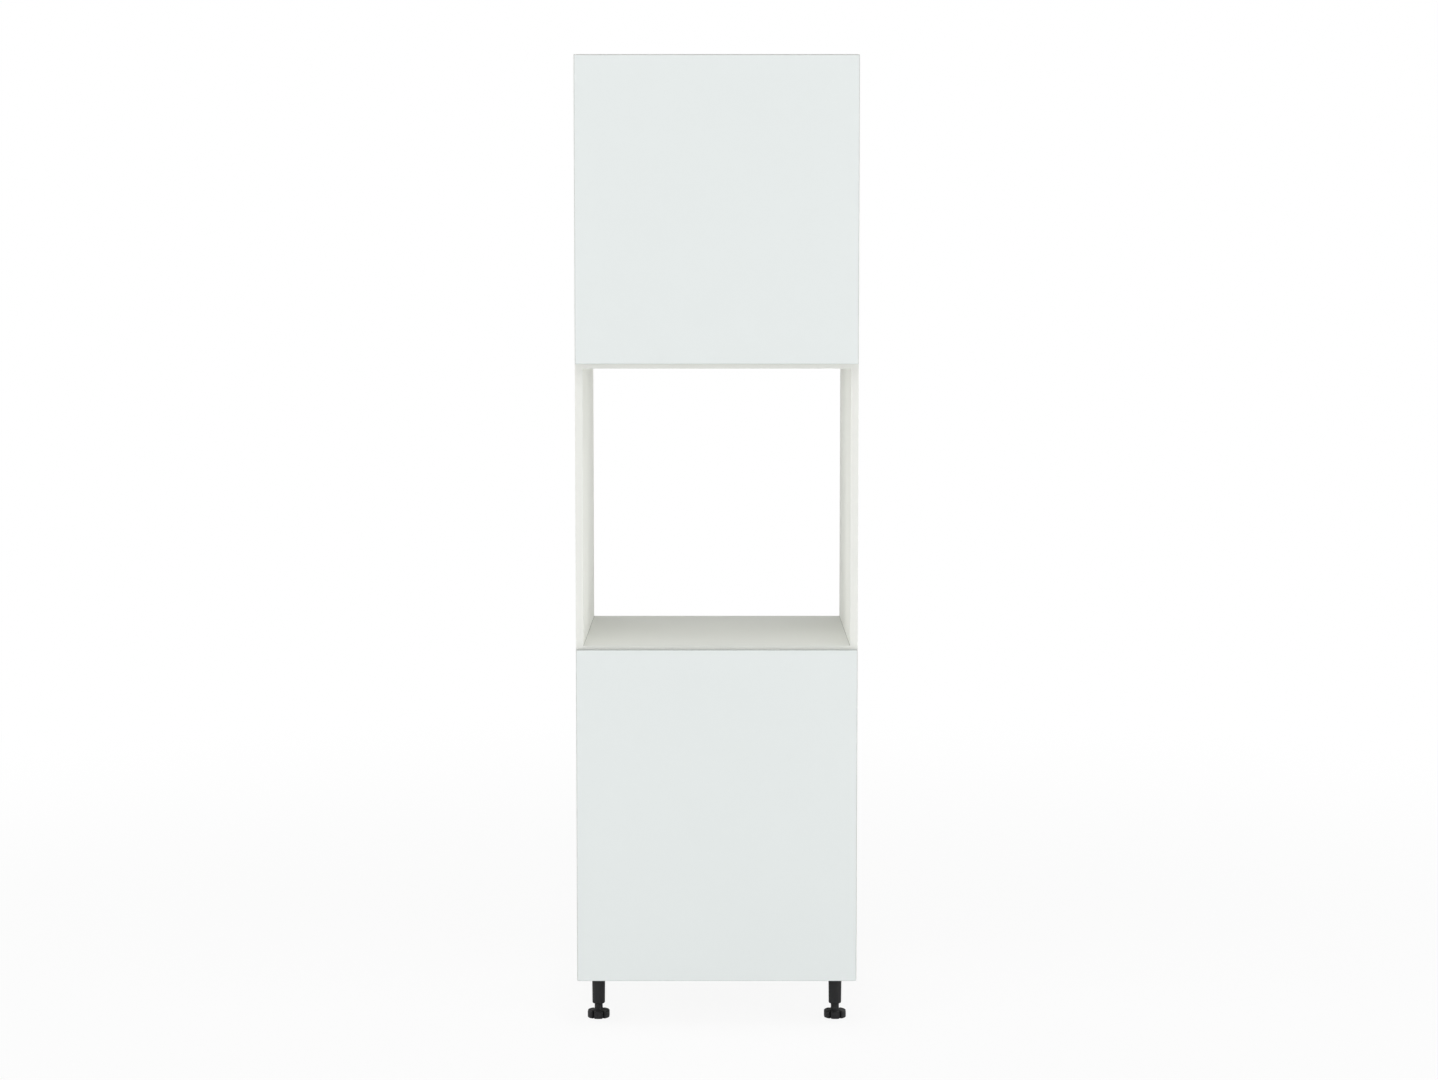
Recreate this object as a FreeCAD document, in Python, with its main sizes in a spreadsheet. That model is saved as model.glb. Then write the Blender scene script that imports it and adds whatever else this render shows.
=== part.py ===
import FreeCAD, Part
import os
import re

import Sketcher

# Tall oven housing unit. The front faces -Y, +Z is up, the floor is Z = 0 and the middle of the
# unit's outer box is X = Y = 0. All sizes are millimetres.
doc = FreeCAD.newDocument("OvenHousing")

dimensions = {
    # carcass
    "unitWidth": 600,
    "carcassDepth": 560,
    "carcassHeight": 1970,
    "legHeight": 100,
    "boardThickness": 16,
    "nicheFloorTop": 822,
    "nicheHeight": 590,
    # back panels, let into grooves
    "backThickness": 3,
    "backInset": 15,
    "grooveDepth": 8,
    "grooveSlack": 0.2,
    # doors
    "doorThickness": 18,
    "doorGap": 2.5,
    "doorReveal": 1.5,
    "doorTopReveal": 2.5,
    "lowerDoorDrop": 6.5,
    "upperDoorLap": 6,
    "doorEdgeRound": 1.2,
    # knock-down joints between the boards
    "jointInset": 37,
    "jointPitch": 32,
    "camRadius": 7.5,
    "camDepth": 12.5,
    "camSetback": 24,
    "boltRadius": 3,
    "boltThreadDepth": 11,
    "dowelRadius": 4,
    "dowelSideDepth": 11,
    "dowelBoardDepth": 20,
    "drillSlack": 0.25,
    # shelves
    "shelfSetback": 20,
    "shelfRearGap": 2,
    "shelfEndGap": 2,
    "lowerShelfHeight": 452,
    "upperShelfHeight": 1732,
    "pinRadius": 2.5,
    "pinStem": 2.4,
    "pinHoleDepth": 12,
    "pinReach": 8,
    "pinCollarRadius": 4,
    "pinCollar": 1.5,
    "systemPitch": 32,
    "frontRow": 37,
    "rearRow": 80,
    # legs
    "legInsetSide": 43,
    "legInsetEnd": 75,
    "tubeTopRadius": 14.3,
    "tubeFootRadius": 13.7,
    "tubeBottom": 31,
    "tubeChamfer": 3,
    "socketHalf": 28,
    "socketPlate": 4,
    "socketCollarRadius": 18,
    "socketCollar": 15,
    "socketPegRadius": 5,
    "socketPegLength": 10,
    "socketPegSpread": 20,
    "footRadius": 24.2,
    "footHeight": 16,
    "footSlope": 2.5,
    "neckRadius": 8.8,
    "stemTop": 76,
    "footRise": 14,
    "lobeGroove": 4,
    "lobeSlack": 1,
    "lobeGrooveDepth": 7,
    "runningSlack": 0.3,
    # flats on small pins and holes that are round on the real unit
    "smallFlats": 6,
    "mediumFlats": 10,
    "largeFlats": 18,
    # concealed hinges: across is from the door's edge, ahead is in front of the door's back face
    "hingeEnd": 96,
    "cupAcross": 21.5,
    "cupRadius": 17.4,
    "cupWall": 0.7,
    "cupDepth": 12.8,
    "cupFloor": 0.8,
    "flangeThickness": 1.2,
    "flangeHalfHeight": 30,
    "flangeNear": 23,
    "flangeFar": 39,
    "outerFixedAcross": 29.5,
    "outerFixedAhead": -14,
    "innerFixedAcross": 34.5,
    "innerFixedAhead": 8.5,
    "outerDoorAcross": 9.5,
    "outerDoorAhead": 7.6,
    "outerBendAcross": 12.2,
    "outerBendAhead": 9.9,
    "outerKneeAcross": 18.8,
    "outerKneeAhead": 10,
    "outerElbowAcross": 23.2,
    "outerElbowAhead": 5.5,
    "innerDoorAcross": 15.3,
    "innerDoorAhead": 6.3,
    "pivotRadius": 1.1,
    "pivotSlack": 0.2,
    "eyeRadius": 2.2,
    "looseEyeShift": 0.95,
    "looseEyeRadius": 2.8,
    "looseLugRadius": 3.8,
    "linkHalfWidth": 1.4,
    "innerLinkHalf": 4.4,
    "innerLinkWidth": 1.9,
    "lugGap": 0.3,
    "lugThickness": 1.4,
    "cheekHalf": 4.8,
    "steelThickness": 1.2,
    "outerPlateHalf": 6.4,
    "outerLugHalf": 8,
    "plateThickness": 1.5,
    "plateHalfHeight": 26,
    "plateWing": 12,
    "plateHalfWidth": 10,
    "saddleHeight": 8,
    "saddleHalf": 4.3,
    "saddleStart": 28,
    "saddleEnd": 62,
    "armLift": 0.8,
    "armTail": 64,
    "armBend": 34,
    # push-to-open latches
    "latchInset": 64,
    "latchLength": 62,
    "latchWidth": 20,
    "latchHeight": 14,
    "latchSetback": 1,
    "latchBore": 50,
    "plungerRadius": 4.6,
    "plungerLength": 46,
    "strikeWidth": 20,
    "strikeThickness": 1,
    # wall brackets
    "bracketSpread": 200,
    "bracketWidth": 40,
    "bracketLeg": 45,
    "bracketThickness": 2,
    "wallHoleRadius": 4,
    "wallHoleDrop": 27,
}

rear = "((carcassDepth + doorGap + doorThickness) / 2)"
front = f"({rear} - carcassDepth)"
doorBack = f"({front} - doorGap)"
outerLeft = "(-unitWidth / 2)"
innerLeft = "(boardThickness - unitWidth / 2)"
innerRight = "(unitWidth / 2 - boardThickness)"
innerWidth = "(unitWidth - 2 * boardThickness)"
bottomTop = "(legHeight + boardThickness)"
carcassTop = "(legHeight + carcassHeight)"
topUnder = f"({carcassTop} - boardThickness)"
floorUnder = "(nicheFloorTop - boardThickness)"
nicheTop = "(nicheFloorTop + nicheHeight)"
ceilingTop = f"({nicheTop} + boardThickness)"
backRearFace = f"({rear} - backInset)"
backFrontFace = f"({backRearFace} - backThickness)"
doorEdge = f"({outerLeft} + doorReveal)"
doorWidth = "(unitWidth - 2 * doorReveal)"

lowerDoor = {
    "name": "lower",
    "bottom": "(legHeight + doorReveal)",
    "top": "(nicheFloorTop - lowerDoorDrop)",
}
upperDoor = {
    "name": "upper",
    "bottom": f"({ceilingTop} - upperDoorLap)",
    "top": f"({carcassTop} - doorTopReveal)",
}

along = {
    "+X": FreeCAD.Rotation(FreeCAD.Vector(0, 1, 0), 90),
    "-X": FreeCAD.Rotation(FreeCAD.Vector(0, 1, 0), -90),
    "+Y": FreeCAD.Rotation(FreeCAD.Vector(1, 0, 0), -90),
    "-Y": FreeCAD.Rotation(FreeCAD.Vector(1, 0, 0), 90),
    "+Z": FreeCAD.Rotation(),
    "-Z": FreeCAD.Rotation(FreeCAD.Vector(1, 0, 0), 180),
}
subParts = []


def makeSheet():
    sheet = doc.addObject("Spreadsheet::Sheet", "Sizes")
    for row, (name, value) in enumerate(dimensions.items(), start=1):
        sheet.set(f"A{row}", name)
        sheet.set(f"B{row}", str(value))
        sheet.setAlias(f"B{row}", name)
    doc.recompute()


def sized(formula):
    """A formula with each size's name pointed at its cell."""
    return re.sub(
        r"[A-Za-z]\w*",
        lambda word: f"Sizes.{word.group()}" if word.group() in dimensions else word.group(),
        str(formula),
    )


def bind(thing, **formulas):
    for name, formula in formulas.items():
        thing.setExpression(name, sized(formula))


def locate(thing, x, y, z, direction="+Z"):
    thing.Placement = FreeCAD.Placement(FreeCAD.Vector(), along[direction])
    for axis, formula in zip("xyz", (x, y, z)):
        thing.setExpression(f"Placement.Base.{axis}", sized(formula))
    return thing


def block(name, x, y, z, length, width, height):
    thing = doc.addObject("Part::Box", name)
    bind(thing, Length=length, Width=width, Height=height)
    return locate(thing, x, y, z)


def rod(name, x, y, z, direction, radius, height):
    thing = doc.addObject("Part::Cylinder", name)
    bind(thing, Radius=radius, Height=height)
    return locate(thing, x, y, z, direction)


def peg(name, x, y, z, direction, radius, height, flats="smallFlats"):
    """A many-sided stand-in for a small round pin or hole: it keeps the model light."""
    thing = doc.addObject("Part::Prism", name)
    bind(thing, Polygon=flats, Circumradius=radius, Height=height)
    return locate(thing, x, y, z, direction)


def turned(name, x, y, rings):
    """A round form of flats through rings of (radius, height), from the lowest up."""
    sections = []
    for radius, height in rings:
        section = doc.addObject("Part::RegularPolygon", f"{name}Ring")
        bind(section, Polygon="largeFlats", Circumradius=radius)
        sections.append(locate(section, x, y, height))
    thing = doc.addObject("Part::Loft", name)
    thing.Sections = sections
    thing.Solid = True
    thing.Ruled = True
    return thing


def compound(name, pieces):
    thing = doc.addObject("Part::Compound", name)
    thing.Links = pieces
    return thing


def fused(name, pieces):
    thing = doc.addObject("Part::MultiFuse", name)
    thing.Shapes = pieces
    thing.Refine = True
    return thing


def carved(name, base, cutters):
    thing = doc.addObject("Part::Cut", name)
    thing.Base = base
    thing.Tool = compound(f"{name}Cutters", cutters)
    return thing


def subPart(thing, label):
    thing.Label = label
    subParts.append(thing)
    return thing


# Sketches and solid features of the bodies


def newBody(name, x, y, z):
    return locate(doc.addObject("PartDesign::Body", name), x, y, z)


def newSketch(body, name, plane, offset="0"):
    sketch = body.newObject("Sketcher::SketchObject", name)
    planes = {feature.Role: feature for feature in body.Origin.OriginFeatures}
    sketch.AttachmentSupport = [(planes[plane], "")]
    sketch.MapMode = "FlatFace"
    sketch.setExpression("AttachmentOffset.Base.z", sized(offset))
    return sketch


def pin(sketch, geometry, point, x, y):
    """Hold a point of the sketch at a distance from its origin along both axes."""
    for kind, formula in (("DistanceX", x), ("DistanceY", y)):
        index = sketch.addConstraint(Sketcher.Constraint(kind, geometry, point, 1.0))
        sketch.setExpression(f"Constraints[{index}]", sized(formula))


def outline(sketch, corners):
    """A closed outline of straight sides; each corner is held by its own two formulas."""
    first = sketch.GeometryCount
    count = len(corners)
    spots = [FreeCAD.Vector(number, number * number, 0) for number in range(1, count + 1)]
    for start, end in zip(spots, spots[1:] + spots[:1]):
        sketch.addGeometry(Part.LineSegment(start, end), False)
    for number, (x, y) in enumerate(corners):
        following = first + (number + 1) % count
        sketch.addConstraint(Sketcher.Constraint("Coincident", first + number, 2, following, 1))
        pin(sketch, first + number, 1, x, y)


def extrude(body, kind, sketch, length, reversed=False, symmetric=False):
    feature = body.newObject(f"PartDesign::{kind}", f"{sketch.Name}{kind}")
    feature.Profile = sketch
    feature.SideType = "Symmetric" if symmetric else "One side"
    feature.Reversed = reversed
    feature.setExpression("Length", sized(length))
    body.Tip = feature
    return feature


def rounded(body, name, edges, radius):
    """Round the edges of the body's tip that the test picks out."""
    doc.recompute()
    base = body.Tip
    names = [f"Edge{number}" for number, edge in enumerate(base.Shape.Edges, start=1) if edges(edge)]
    feature = body.newObject("PartDesign::Fillet", name)
    feature.Base = (base, names)
    feature.setExpression("Radius", sized(radius))
    body.Tip = feature


# Carcass boards

sides = {
    "left": {"low": outerLeft, "face": innerLeft, "outward": "-X", "inward": "+X", "sign": "-1"},
    "right": {"low": innerRight, "face": innerRight, "outward": "+X", "inward": "-X", "sign": "1"},
}
boards = {
    "bottom_panel": {"low": "legHeight", "cams": "under", "groove": "over"},
    "niche_floor_panel": {"low": floorUnder, "cams": "under", "groove": "under"},
    "niche_ceiling_panel": {"low": nicheTop, "cams": "over", "groove": "over"},
    "top_panel": {"low": topUnder, "cams": "over", "groove": "under"},
}
boltRows = {"Front": f"({front} + jointInset)", "Rear": f"({rear} - jointInset)"}
dowelRows = {
    "Front": f"({front} + jointInset + jointPitch)",
    "Rear": f"({rear} - jointInset - jointPitch)",
}
shelves = {"lower": "lowerShelfHeight", "upper": "upperShelfHeight"}
pinRows = {"Front": f"({front} + frontRow)", "Rear": f"({rear} - rearRow)"}


def hingeHeights(door):
    return {
        "bottom": f"({door['bottom']} + hingeEnd)",
        "top": f"({door['top']} - hingeEnd)",
    }


def sideCutters(name, side):
    """Groove, bolt, dowel and shelf pin holes of one side board."""
    face, outward = side["face"], side["outward"]
    grooveLow = f"{face} - grooveDepth" if outward == "-X" else f"{face} - drillSlack"
    cutters = [
        block(
            f"{name}Groove", grooveLow, f"{backFrontFace} - grooveSlack", "legHeight - 1",
            "grooveDepth + drillSlack", "backThickness + 2 * grooveSlack", "carcassHeight + 2",
        )
    ]
    for board, shape in boards.items():
        middle = f"({shape['low']} + boardThickness / 2)"
        for row in boltRows:
            hole = f"{name}{board}{row}"
            cutters.append(
                peg(f"{hole}Bolt", face, boltRows[row], middle, outward,
                    "boltRadius", "boltThreadDepth + drillSlack")
            )
            cutters.append(
                peg(f"{hole}Dowel", face, dowelRows[row], middle, outward,
                    "dowelRadius + drillSlack", "dowelSideDepth + drillSlack")
            )
    for shelf, height in shelves.items():
        for row, y in pinRows.items():
            for step in (-1, 0, 1):
                z = f"{height} - pinStem + {step} * 2 * systemPitch"
                cutters.append(
                    peg(f"{name}{shelf}{row}Pin", face, y, z, outward, "pinRadius", "pinHoleDepth")
                )
    return cutters


def makeSide(name, side):
    board = block(f"{name}Board", side["low"], front, "legHeight",
                  "boardThickness", "carcassDepth", "carcassHeight")
    subPart(carved(f"{name}Side", board, sideCutters(name, side)), f"{name}_side_panel")


def camFace(shape):
    """Where the cams of a board start, and the way they go in."""
    if shape["cams"] == "under":
        return shape["low"], "+Z"
    return f"({shape['low']} + boardThickness)", "-Z"


def boardCutters(name, shape):
    middle = f"({shape['low']} + boardThickness / 2)"
    start, inwards = camFace(shape)
    grooveLow = shape["low"] if shape["groove"] == "under" else f"{shape['low']} + boardThickness - grooveDepth"
    cutters = [
        block(f"{name}Groove", innerLeft, f"{backFrontFace} - grooveSlack", grooveLow,
              innerWidth, "backThickness + 2 * grooveSlack", "grooveDepth")
    ]
    for side in sides.values():
        camX = f"({side['face']} - ({side['sign']}) * camSetback)"
        for row in boltRows:
            cutters.append(
                peg(f"{name}Cam", camX, boltRows[row], start, inwards, "camRadius", "camDepth", "mediumFlats")
            )
            cutters.append(
                peg(f"{name}Bolt", side["face"], boltRows[row], middle, side["inward"],
                    "boltRadius + drillSlack", "camSetback")
            )
            cutters.append(
                peg(f"{name}Dowel", side["face"], dowelRows[row], middle, side["inward"],
                    "dowelRadius + drillSlack", "dowelBoardDepth + drillSlack")
            )
    if name == "bottom_panel":
        for pegs in pegPlaces().values():
            for x, y in pegs:
                cutters.append(
                    peg("PegHole", x, y, "legHeight", "+Z",
                        "socketPegRadius + drillSlack", "socketPegLength + drillSlack")
                )
    return cutters


def makeBoard(name, shape):
    board = block(f"{name}Board", innerLeft, front, shape["low"],
                  innerWidth, "carcassDepth", "boardThickness")
    subPart(carved(f"{name}Cut", board, boardCutters(name, shape)), name)


def makeBack(name, low, high):
    """A thin back, held in the grooves of the boards round it; the upper one lets the wall screws by."""
    reach = "(grooveDepth - grooveSlack)"
    back = block(
        f"{name}Back", f"{innerLeft} - {reach}", backFrontFace, f"{low} - {reach}",
        f"{innerWidth} + 2 * {reach}", "backThickness", f"{high} - {low} + 2 * {reach}",
    )
    if name == "upper":
        holes = [
            peg("WallHole", x, f"{backFrontFace} - 1", f"{topUnder} - wallHoleDrop", "+Y",
                "wallHoleRadius + 1", "backThickness + 2", "mediumFlats")
            for x in ("-bracketSpread", "bracketSpread")
        ]
        back = carved("upperBackCut", back, holes)
    subPart(back, f"{name}_back_panel")


def makeShelf(name, height):
    shelf = block(
        f"{name}Shelf", f"{innerLeft} + shelfEndGap", f"{front} + shelfSetback", height,
        f"{innerWidth} - 2 * shelfEndGap",
        "carcassDepth - shelfSetback - shelfRearGap - backInset - backThickness", "boardThickness",
    )
    subPart(shelf, f"{name}_shelf")


def makeShelfPins():
    pins = []
    for shelf, height in shelves.items():
        for side in sides.values():
            for y in pinRows.values():
                z = f"({height} - pinStem)"
                buried = f"({side['face']} + ({side['sign']}) * (pinHoleDepth - 2))"
                stem = peg("PinStem", buried, y, z, side["inward"],
                           "pinStem", "pinHoleDepth - 2 + pinReach")
                collar = peg("PinCollar", side["face"], y, z, side["inward"], "pinCollarRadius", "pinCollar")
                pins.append(fused("ShelfPin", [stem, collar]))
    subPart(compound("ShelfPins", pins), "shelf_pins")


def makeJointFittings():
    """A cam with its bolt and, beside it, a dowel, at each end of every board."""
    fittings, dowels = [], []
    for name, shape in boards.items():
        middle = f"({shape['low']} + boardThickness / 2)"
        start, inwards = camFace(shape)
        for side in sides.values():
            sign = side["sign"]
            camX = f"({side['face']} - ({sign}) * camSetback)"
            for row in boltRows:
                y = boltRows[row]
                disc = peg("CamDisc", camX, y, start, inwards,
                           "camRadius - drillSlack", "camDepth - drillSlack", "mediumFlats")
                tail = f"({side['face']} + ({sign}) * boltThreadDepth)"
                bolt = peg("CamBolt", tail, y, middle, side["inward"],
                           "boltRadius - drillSlack", "boltThreadDepth + camSetback")
                fittings.append(fused("CamFitting", [disc, bolt]))
                dowelStart = f"({side['face']} + ({sign}) * dowelSideDepth)"
                dowels.append(
                    peg("Dowel", dowelStart, dowelRows[row], middle, side["inward"],
                        "dowelRadius", "dowelSideDepth + dowelBoardDepth")
                )
    subPart(compound("CamFittings", fittings), "cam_fittings")
    subPart(compound("Dowels", dowels), "dowels")


# Legs and feet


def legPlaces():
    left = f"({outerLeft} + legInsetSide)"
    right = "(unitWidth / 2 - legInsetSide)"
    near = f"({front} + legInsetEnd)"
    far = f"({rear} - legInsetEnd)"
    return {
        "front_left": (left, near),
        "front_right": (right, near),
        "rear_left": (left, far),
        "rear_right": (right, far),
    }


def pegPlaces():
    """Two pegs for each leg, on the diagonal that keeps clear of the joints in the board's end."""
    pegs = {}
    for place, (x, y) in legPlaces().items():
        turn = "-" if place in ("front_left", "rear_right") else "+"
        back = "+" if turn == "-" else "-"
        pegs[place] = (
            (f"({x} - socketPegSpread)", f"({y} {back} socketPegSpread)"),
            (f"({x} + socketPegSpread)", f"({y} {turn} socketPegSpread)"),
        )
    return pegs


def makeSockets():
    """Plates pegged under the bottom board, each with a collar round the top of its leg."""
    sockets = []
    for place, (x, y) in legPlaces().items():
        plate = block("SocketPlate", f"{x} - socketHalf", f"{y} - socketHalf", "legHeight - socketPlate",
                      "2 * socketHalf", "2 * socketHalf", "socketPlate")
        collar = peg("SocketCollar", x, y, "legHeight - socketPlate - socketCollar", "+Z",
                     "socketCollarRadius", "socketCollar + socketPlate / 2", "largeFlats")
        pegs = [
            peg("SocketPeg", pegX, pegY, "legHeight - 1", "+Z", "socketPegRadius", "socketPegLength + 1")
            for pegX, pegY in pegPlaces()[place]
        ]
        bore = peg("SocketBore", x, y, "legHeight - socketPlate - socketCollar - 1", "+Z",
                   "tubeTopRadius + runningSlack", "socketCollar + 1", "largeFlats")
        sockets.append(carved("Socket", fused("SocketBody", [plate, collar] + pegs), [bore]))
    subPart(compound("LegSockets", sockets), "leg_sockets")


def makeTube(place, x, y):
    """A slightly tapered tube with a chamfered lower rim, bored for the stem of its foot."""
    tube = turned("Tube", x, y, [
        ("tubeFootRadius - tubeChamfer", "tubeBottom"),
        ("tubeFootRadius", "tubeBottom + tubeChamfer"),
        ("tubeTopRadius", "legHeight - socketPlate"),
    ])
    bore = peg("TubeBore", x, y, "tubeBottom - 1", "+Z", "neckRadius + runningSlack",
               "stemTop + footRise + runningSlack + 1 - tubeBottom", "largeFlats")
    return carved(f"{place}Leg", tube, [bore])


def makeFoot(place, x, y):
    """A six-lobed foot that screws up and down in its tube."""
    disc = peg("FootDisc", x, y, "0", "+Z", "footRadius", "footHeight - footSlope", "largeFlats")
    slope = doc.addObject("Part::Cone", "FootSlope")
    bind(slope, Radius1="footRadius - lobeGrooveDepth - lobeSlack", Radius2="neckRadius + lobeSlack",
         Height="footSlope")
    locate(slope, x, y, "footHeight - footSlope")
    stem = peg("FootStem", x, y, "footHeight - footSlope - 1", "+Z", "neckRadius",
               "stemTop - footHeight + footSlope + 1", "largeFlats")
    grooves = []
    for number in range(6):
        groove = block("FootGroove", x, y, "-1", "footRadius", "lobeGroove", "footHeight + 2")
        turn = f"{number} * 60"
        bind(groove, **{"Placement.Rotation.Angle": turn})
        for axis, along, across in (("x", "cos", "sin"), ("y", "sin", "-cos")):
            start = {"x": x, "y": y}[axis]
            groove.setExpression(
                f"Placement.Base.{axis}",
                sized(f"{start} + (footRadius - lobeGrooveDepth) * {along}({turn})"
                      f" + lobeGroove / 2 * {across}({turn})"),
            )
        grooves.append(groove)
    subPart(fused(f"{place}Foot", [carved("FootLobes", disc, grooves), slope, stem]), f"{place}_foot")


def makeLegs():
    tubes = []
    for place, (x, y) in legPlaces().items():
        tubes.append(makeTube(place, x, y))
        makeFoot(place, x, y)
    subPart(compound("Legs", tubes), "legs")


# Doors


def makeDoor(door):
    name = door["name"]
    body = newBody(f"{name}Door", doorEdge, doorBack, door["bottom"])
    tall = f"({door['top']} - {door['bottom']})"
    face = newSketch(body, f"{name}DoorFace", "XZ_Plane")
    outline(face, [("0", "0"), (doorWidth, "0"), (doorWidth, tall), ("0", tall)])
    slab = extrude(body, "Pad", face, "doorThickness")
    rounded(body, f"{name}DoorRound", lambda edge: edge.BoundBox.YMax < slab.Shape.BoundBox.YMin + 0.01,
            "doorEdgeRound")
    pockets = [
        peg("CupPocket", f"{doorEdge} + cupAcross", f"{doorBack} - cupDepth - drillSlack", height, "+Y",
            "cupRadius + drillSlack", "cupDepth + drillSlack + 1", "largeFlats")
        for height in hingeHeights(door).values()
    ]
    subPart(carved(f"{name}DoorBored", body, pockets), f"{name}_door")


# Concealed hinges. Places are (across, ahead) from the door's edge and back face; each hinge has two
# links between the arm on the carcass and the cup in the door.

outerFixed = ("outerFixedAcross", "outerFixedAhead")
innerFixed = ("innerFixedAcross", "innerFixedAhead")
outerOnDoor = ("outerDoorAcross", "outerDoorAhead")
innerOnDoor = ("innerDoorAcross", "innerDoorAhead")
looseEye = ("(innerDoorAcross + looseEyeShift)", "(innerDoorAhead + looseEyeShift)")
panelAcross = f"({innerLeft} - {doorEdge})"
plateFace = f"({panelAcross} + plateThickness)"
saddleFace = f"({plateFace} + saddleHeight)"
armWeb = f"({saddleFace} + steelThickness)"
screwRow = "(frontRow + doorGap)"


def common(name, pieces):
    thing = doc.addObject("Part::MultiCommon", name)
    thing.Shapes = pieces
    return thing


def hingeX(across):
    return f"({doorEdge} + {across})"


def hingeY(ahead):
    return f"({doorBack} - ({ahead}))"


def plateBlock(name, across, ahead, height, spans):
    """A block of a hinge between two places, from one half height to the other."""
    (low, high), (near, far), (bottom, top) = across, ahead, spans
    return block(name, hingeX(low), hingeY(far), f"{height} + {bottom}",
                 f"{high} - ({low})", f"{far} - ({near})", f"{top} - ({bottom})")


def pivot(name, spot, height, bottom, top, radius, flats="mediumFlats"):
    return peg(name, hingeX(spot[0]), hingeY(spot[1]), f"{height} + {bottom}", "+Z",
               radius, f"{top} - ({bottom})", flats)


def strip(name, start, end, height, half, reach):
    """A straight bar between two places of a hinge, as wide and as high as asked."""
    across = f"({end[0]} - ({start[0]}))"
    ahead = f"({start[1]} - ({end[1]}))"
    turn = f"atan2({ahead}; {across})"
    bar = block(
        name, f"{hingeX(start[0])} + {half} * sin({turn})", f"{hingeY(start[1])} - {half} * cos({turn})",
        f"{height} - {reach}", f"sqrt({across}^2 + {ahead}^2)", f"2 * {half}", f"2 * {reach}",
    )
    bar.setExpression("Placement.Rotation.Angle", sized(turn))
    return bar


def makeCup(height):
    """A pressed cup with a flange, and lugs that carry the pivots of the two links."""
    shell = peg("CupShell", hingeX("cupAcross"), hingeY("cupDepth"), height, "+Y",
                "cupRadius", "cupDepth", "largeFlats")
    hollow = peg("CupHollow", hingeX("cupAcross"), hingeY("cupDepth - cupFloor"), height, "+Y",
                 "cupRadius - cupWall", "cupDepth + 1", "largeFlats")
    flange = plateBlock("CupFlange", ("flangeNear", "flangeFar"), ("-flangeThickness", "0"), height,
                        ("-flangeHalfHeight", "flangeHalfHeight"))
    cup = carved("CupWall", fused("CupSolid", [shell, flange]), [hollow])
    floor = "(cupDepth - cupFloor / 2)"
    near = "(innerLinkHalf + lugGap)"
    far = f"({near} + lugThickness)"
    outerFar = "(outerLugHalf + lugThickness)"
    stub = "(outerPlateHalf - pivotSlack)"
    carriers = []
    for low, high in (("outerLugHalf", outerFar), (f"-{outerFar}", "-outerLugHalf")):
        carriers.append(
            plateBlock("OuterLug", ("outerDoorAcross - 3", "outerDoorAcross + 3"),
                       ("outerDoorAhead - 3.1", floor), height, (low, high))
        )
    for low, high in ((near, far), (f"-{far}", f"-{near}")):
        carriers.append(
            plateBlock("InnerLug", ("innerDoorAcross - 2", "innerDoorAcross + 2.2"),
                       ("innerDoorAhead - 2.1", floor), height, (low, high))
        )
    for low, high in ((stub, "outerLugHalf + 1"), ("-(outerLugHalf + 1)", f"-{stub}")):
        carriers.append(pivot("OuterStub", outerOnDoor, height, low, high, "pivotRadius"))
    carriers.append(pivot("InnerPin", innerOnDoor, height, f"-{near} - 1", f"{near} + 1", "pivotRadius"))
    keep = peg("LugBounds", hingeX("cupAcross"), hingeY("cupDepth"), height, "+Y",
               "cupRadius - cupWall / 2", "cupDepth", "largeFlats")
    return fused("Cup", [cup, common("CupLugs", [fused("CupCarriers", carriers), keep])])


def makeCups(door):
    cups = [makeCup(height) for height in hingeHeights(door).values()]
    subPart(compound(f"{door['name']}Cups", cups), f"{door['name']}_hinge_cups")


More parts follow.
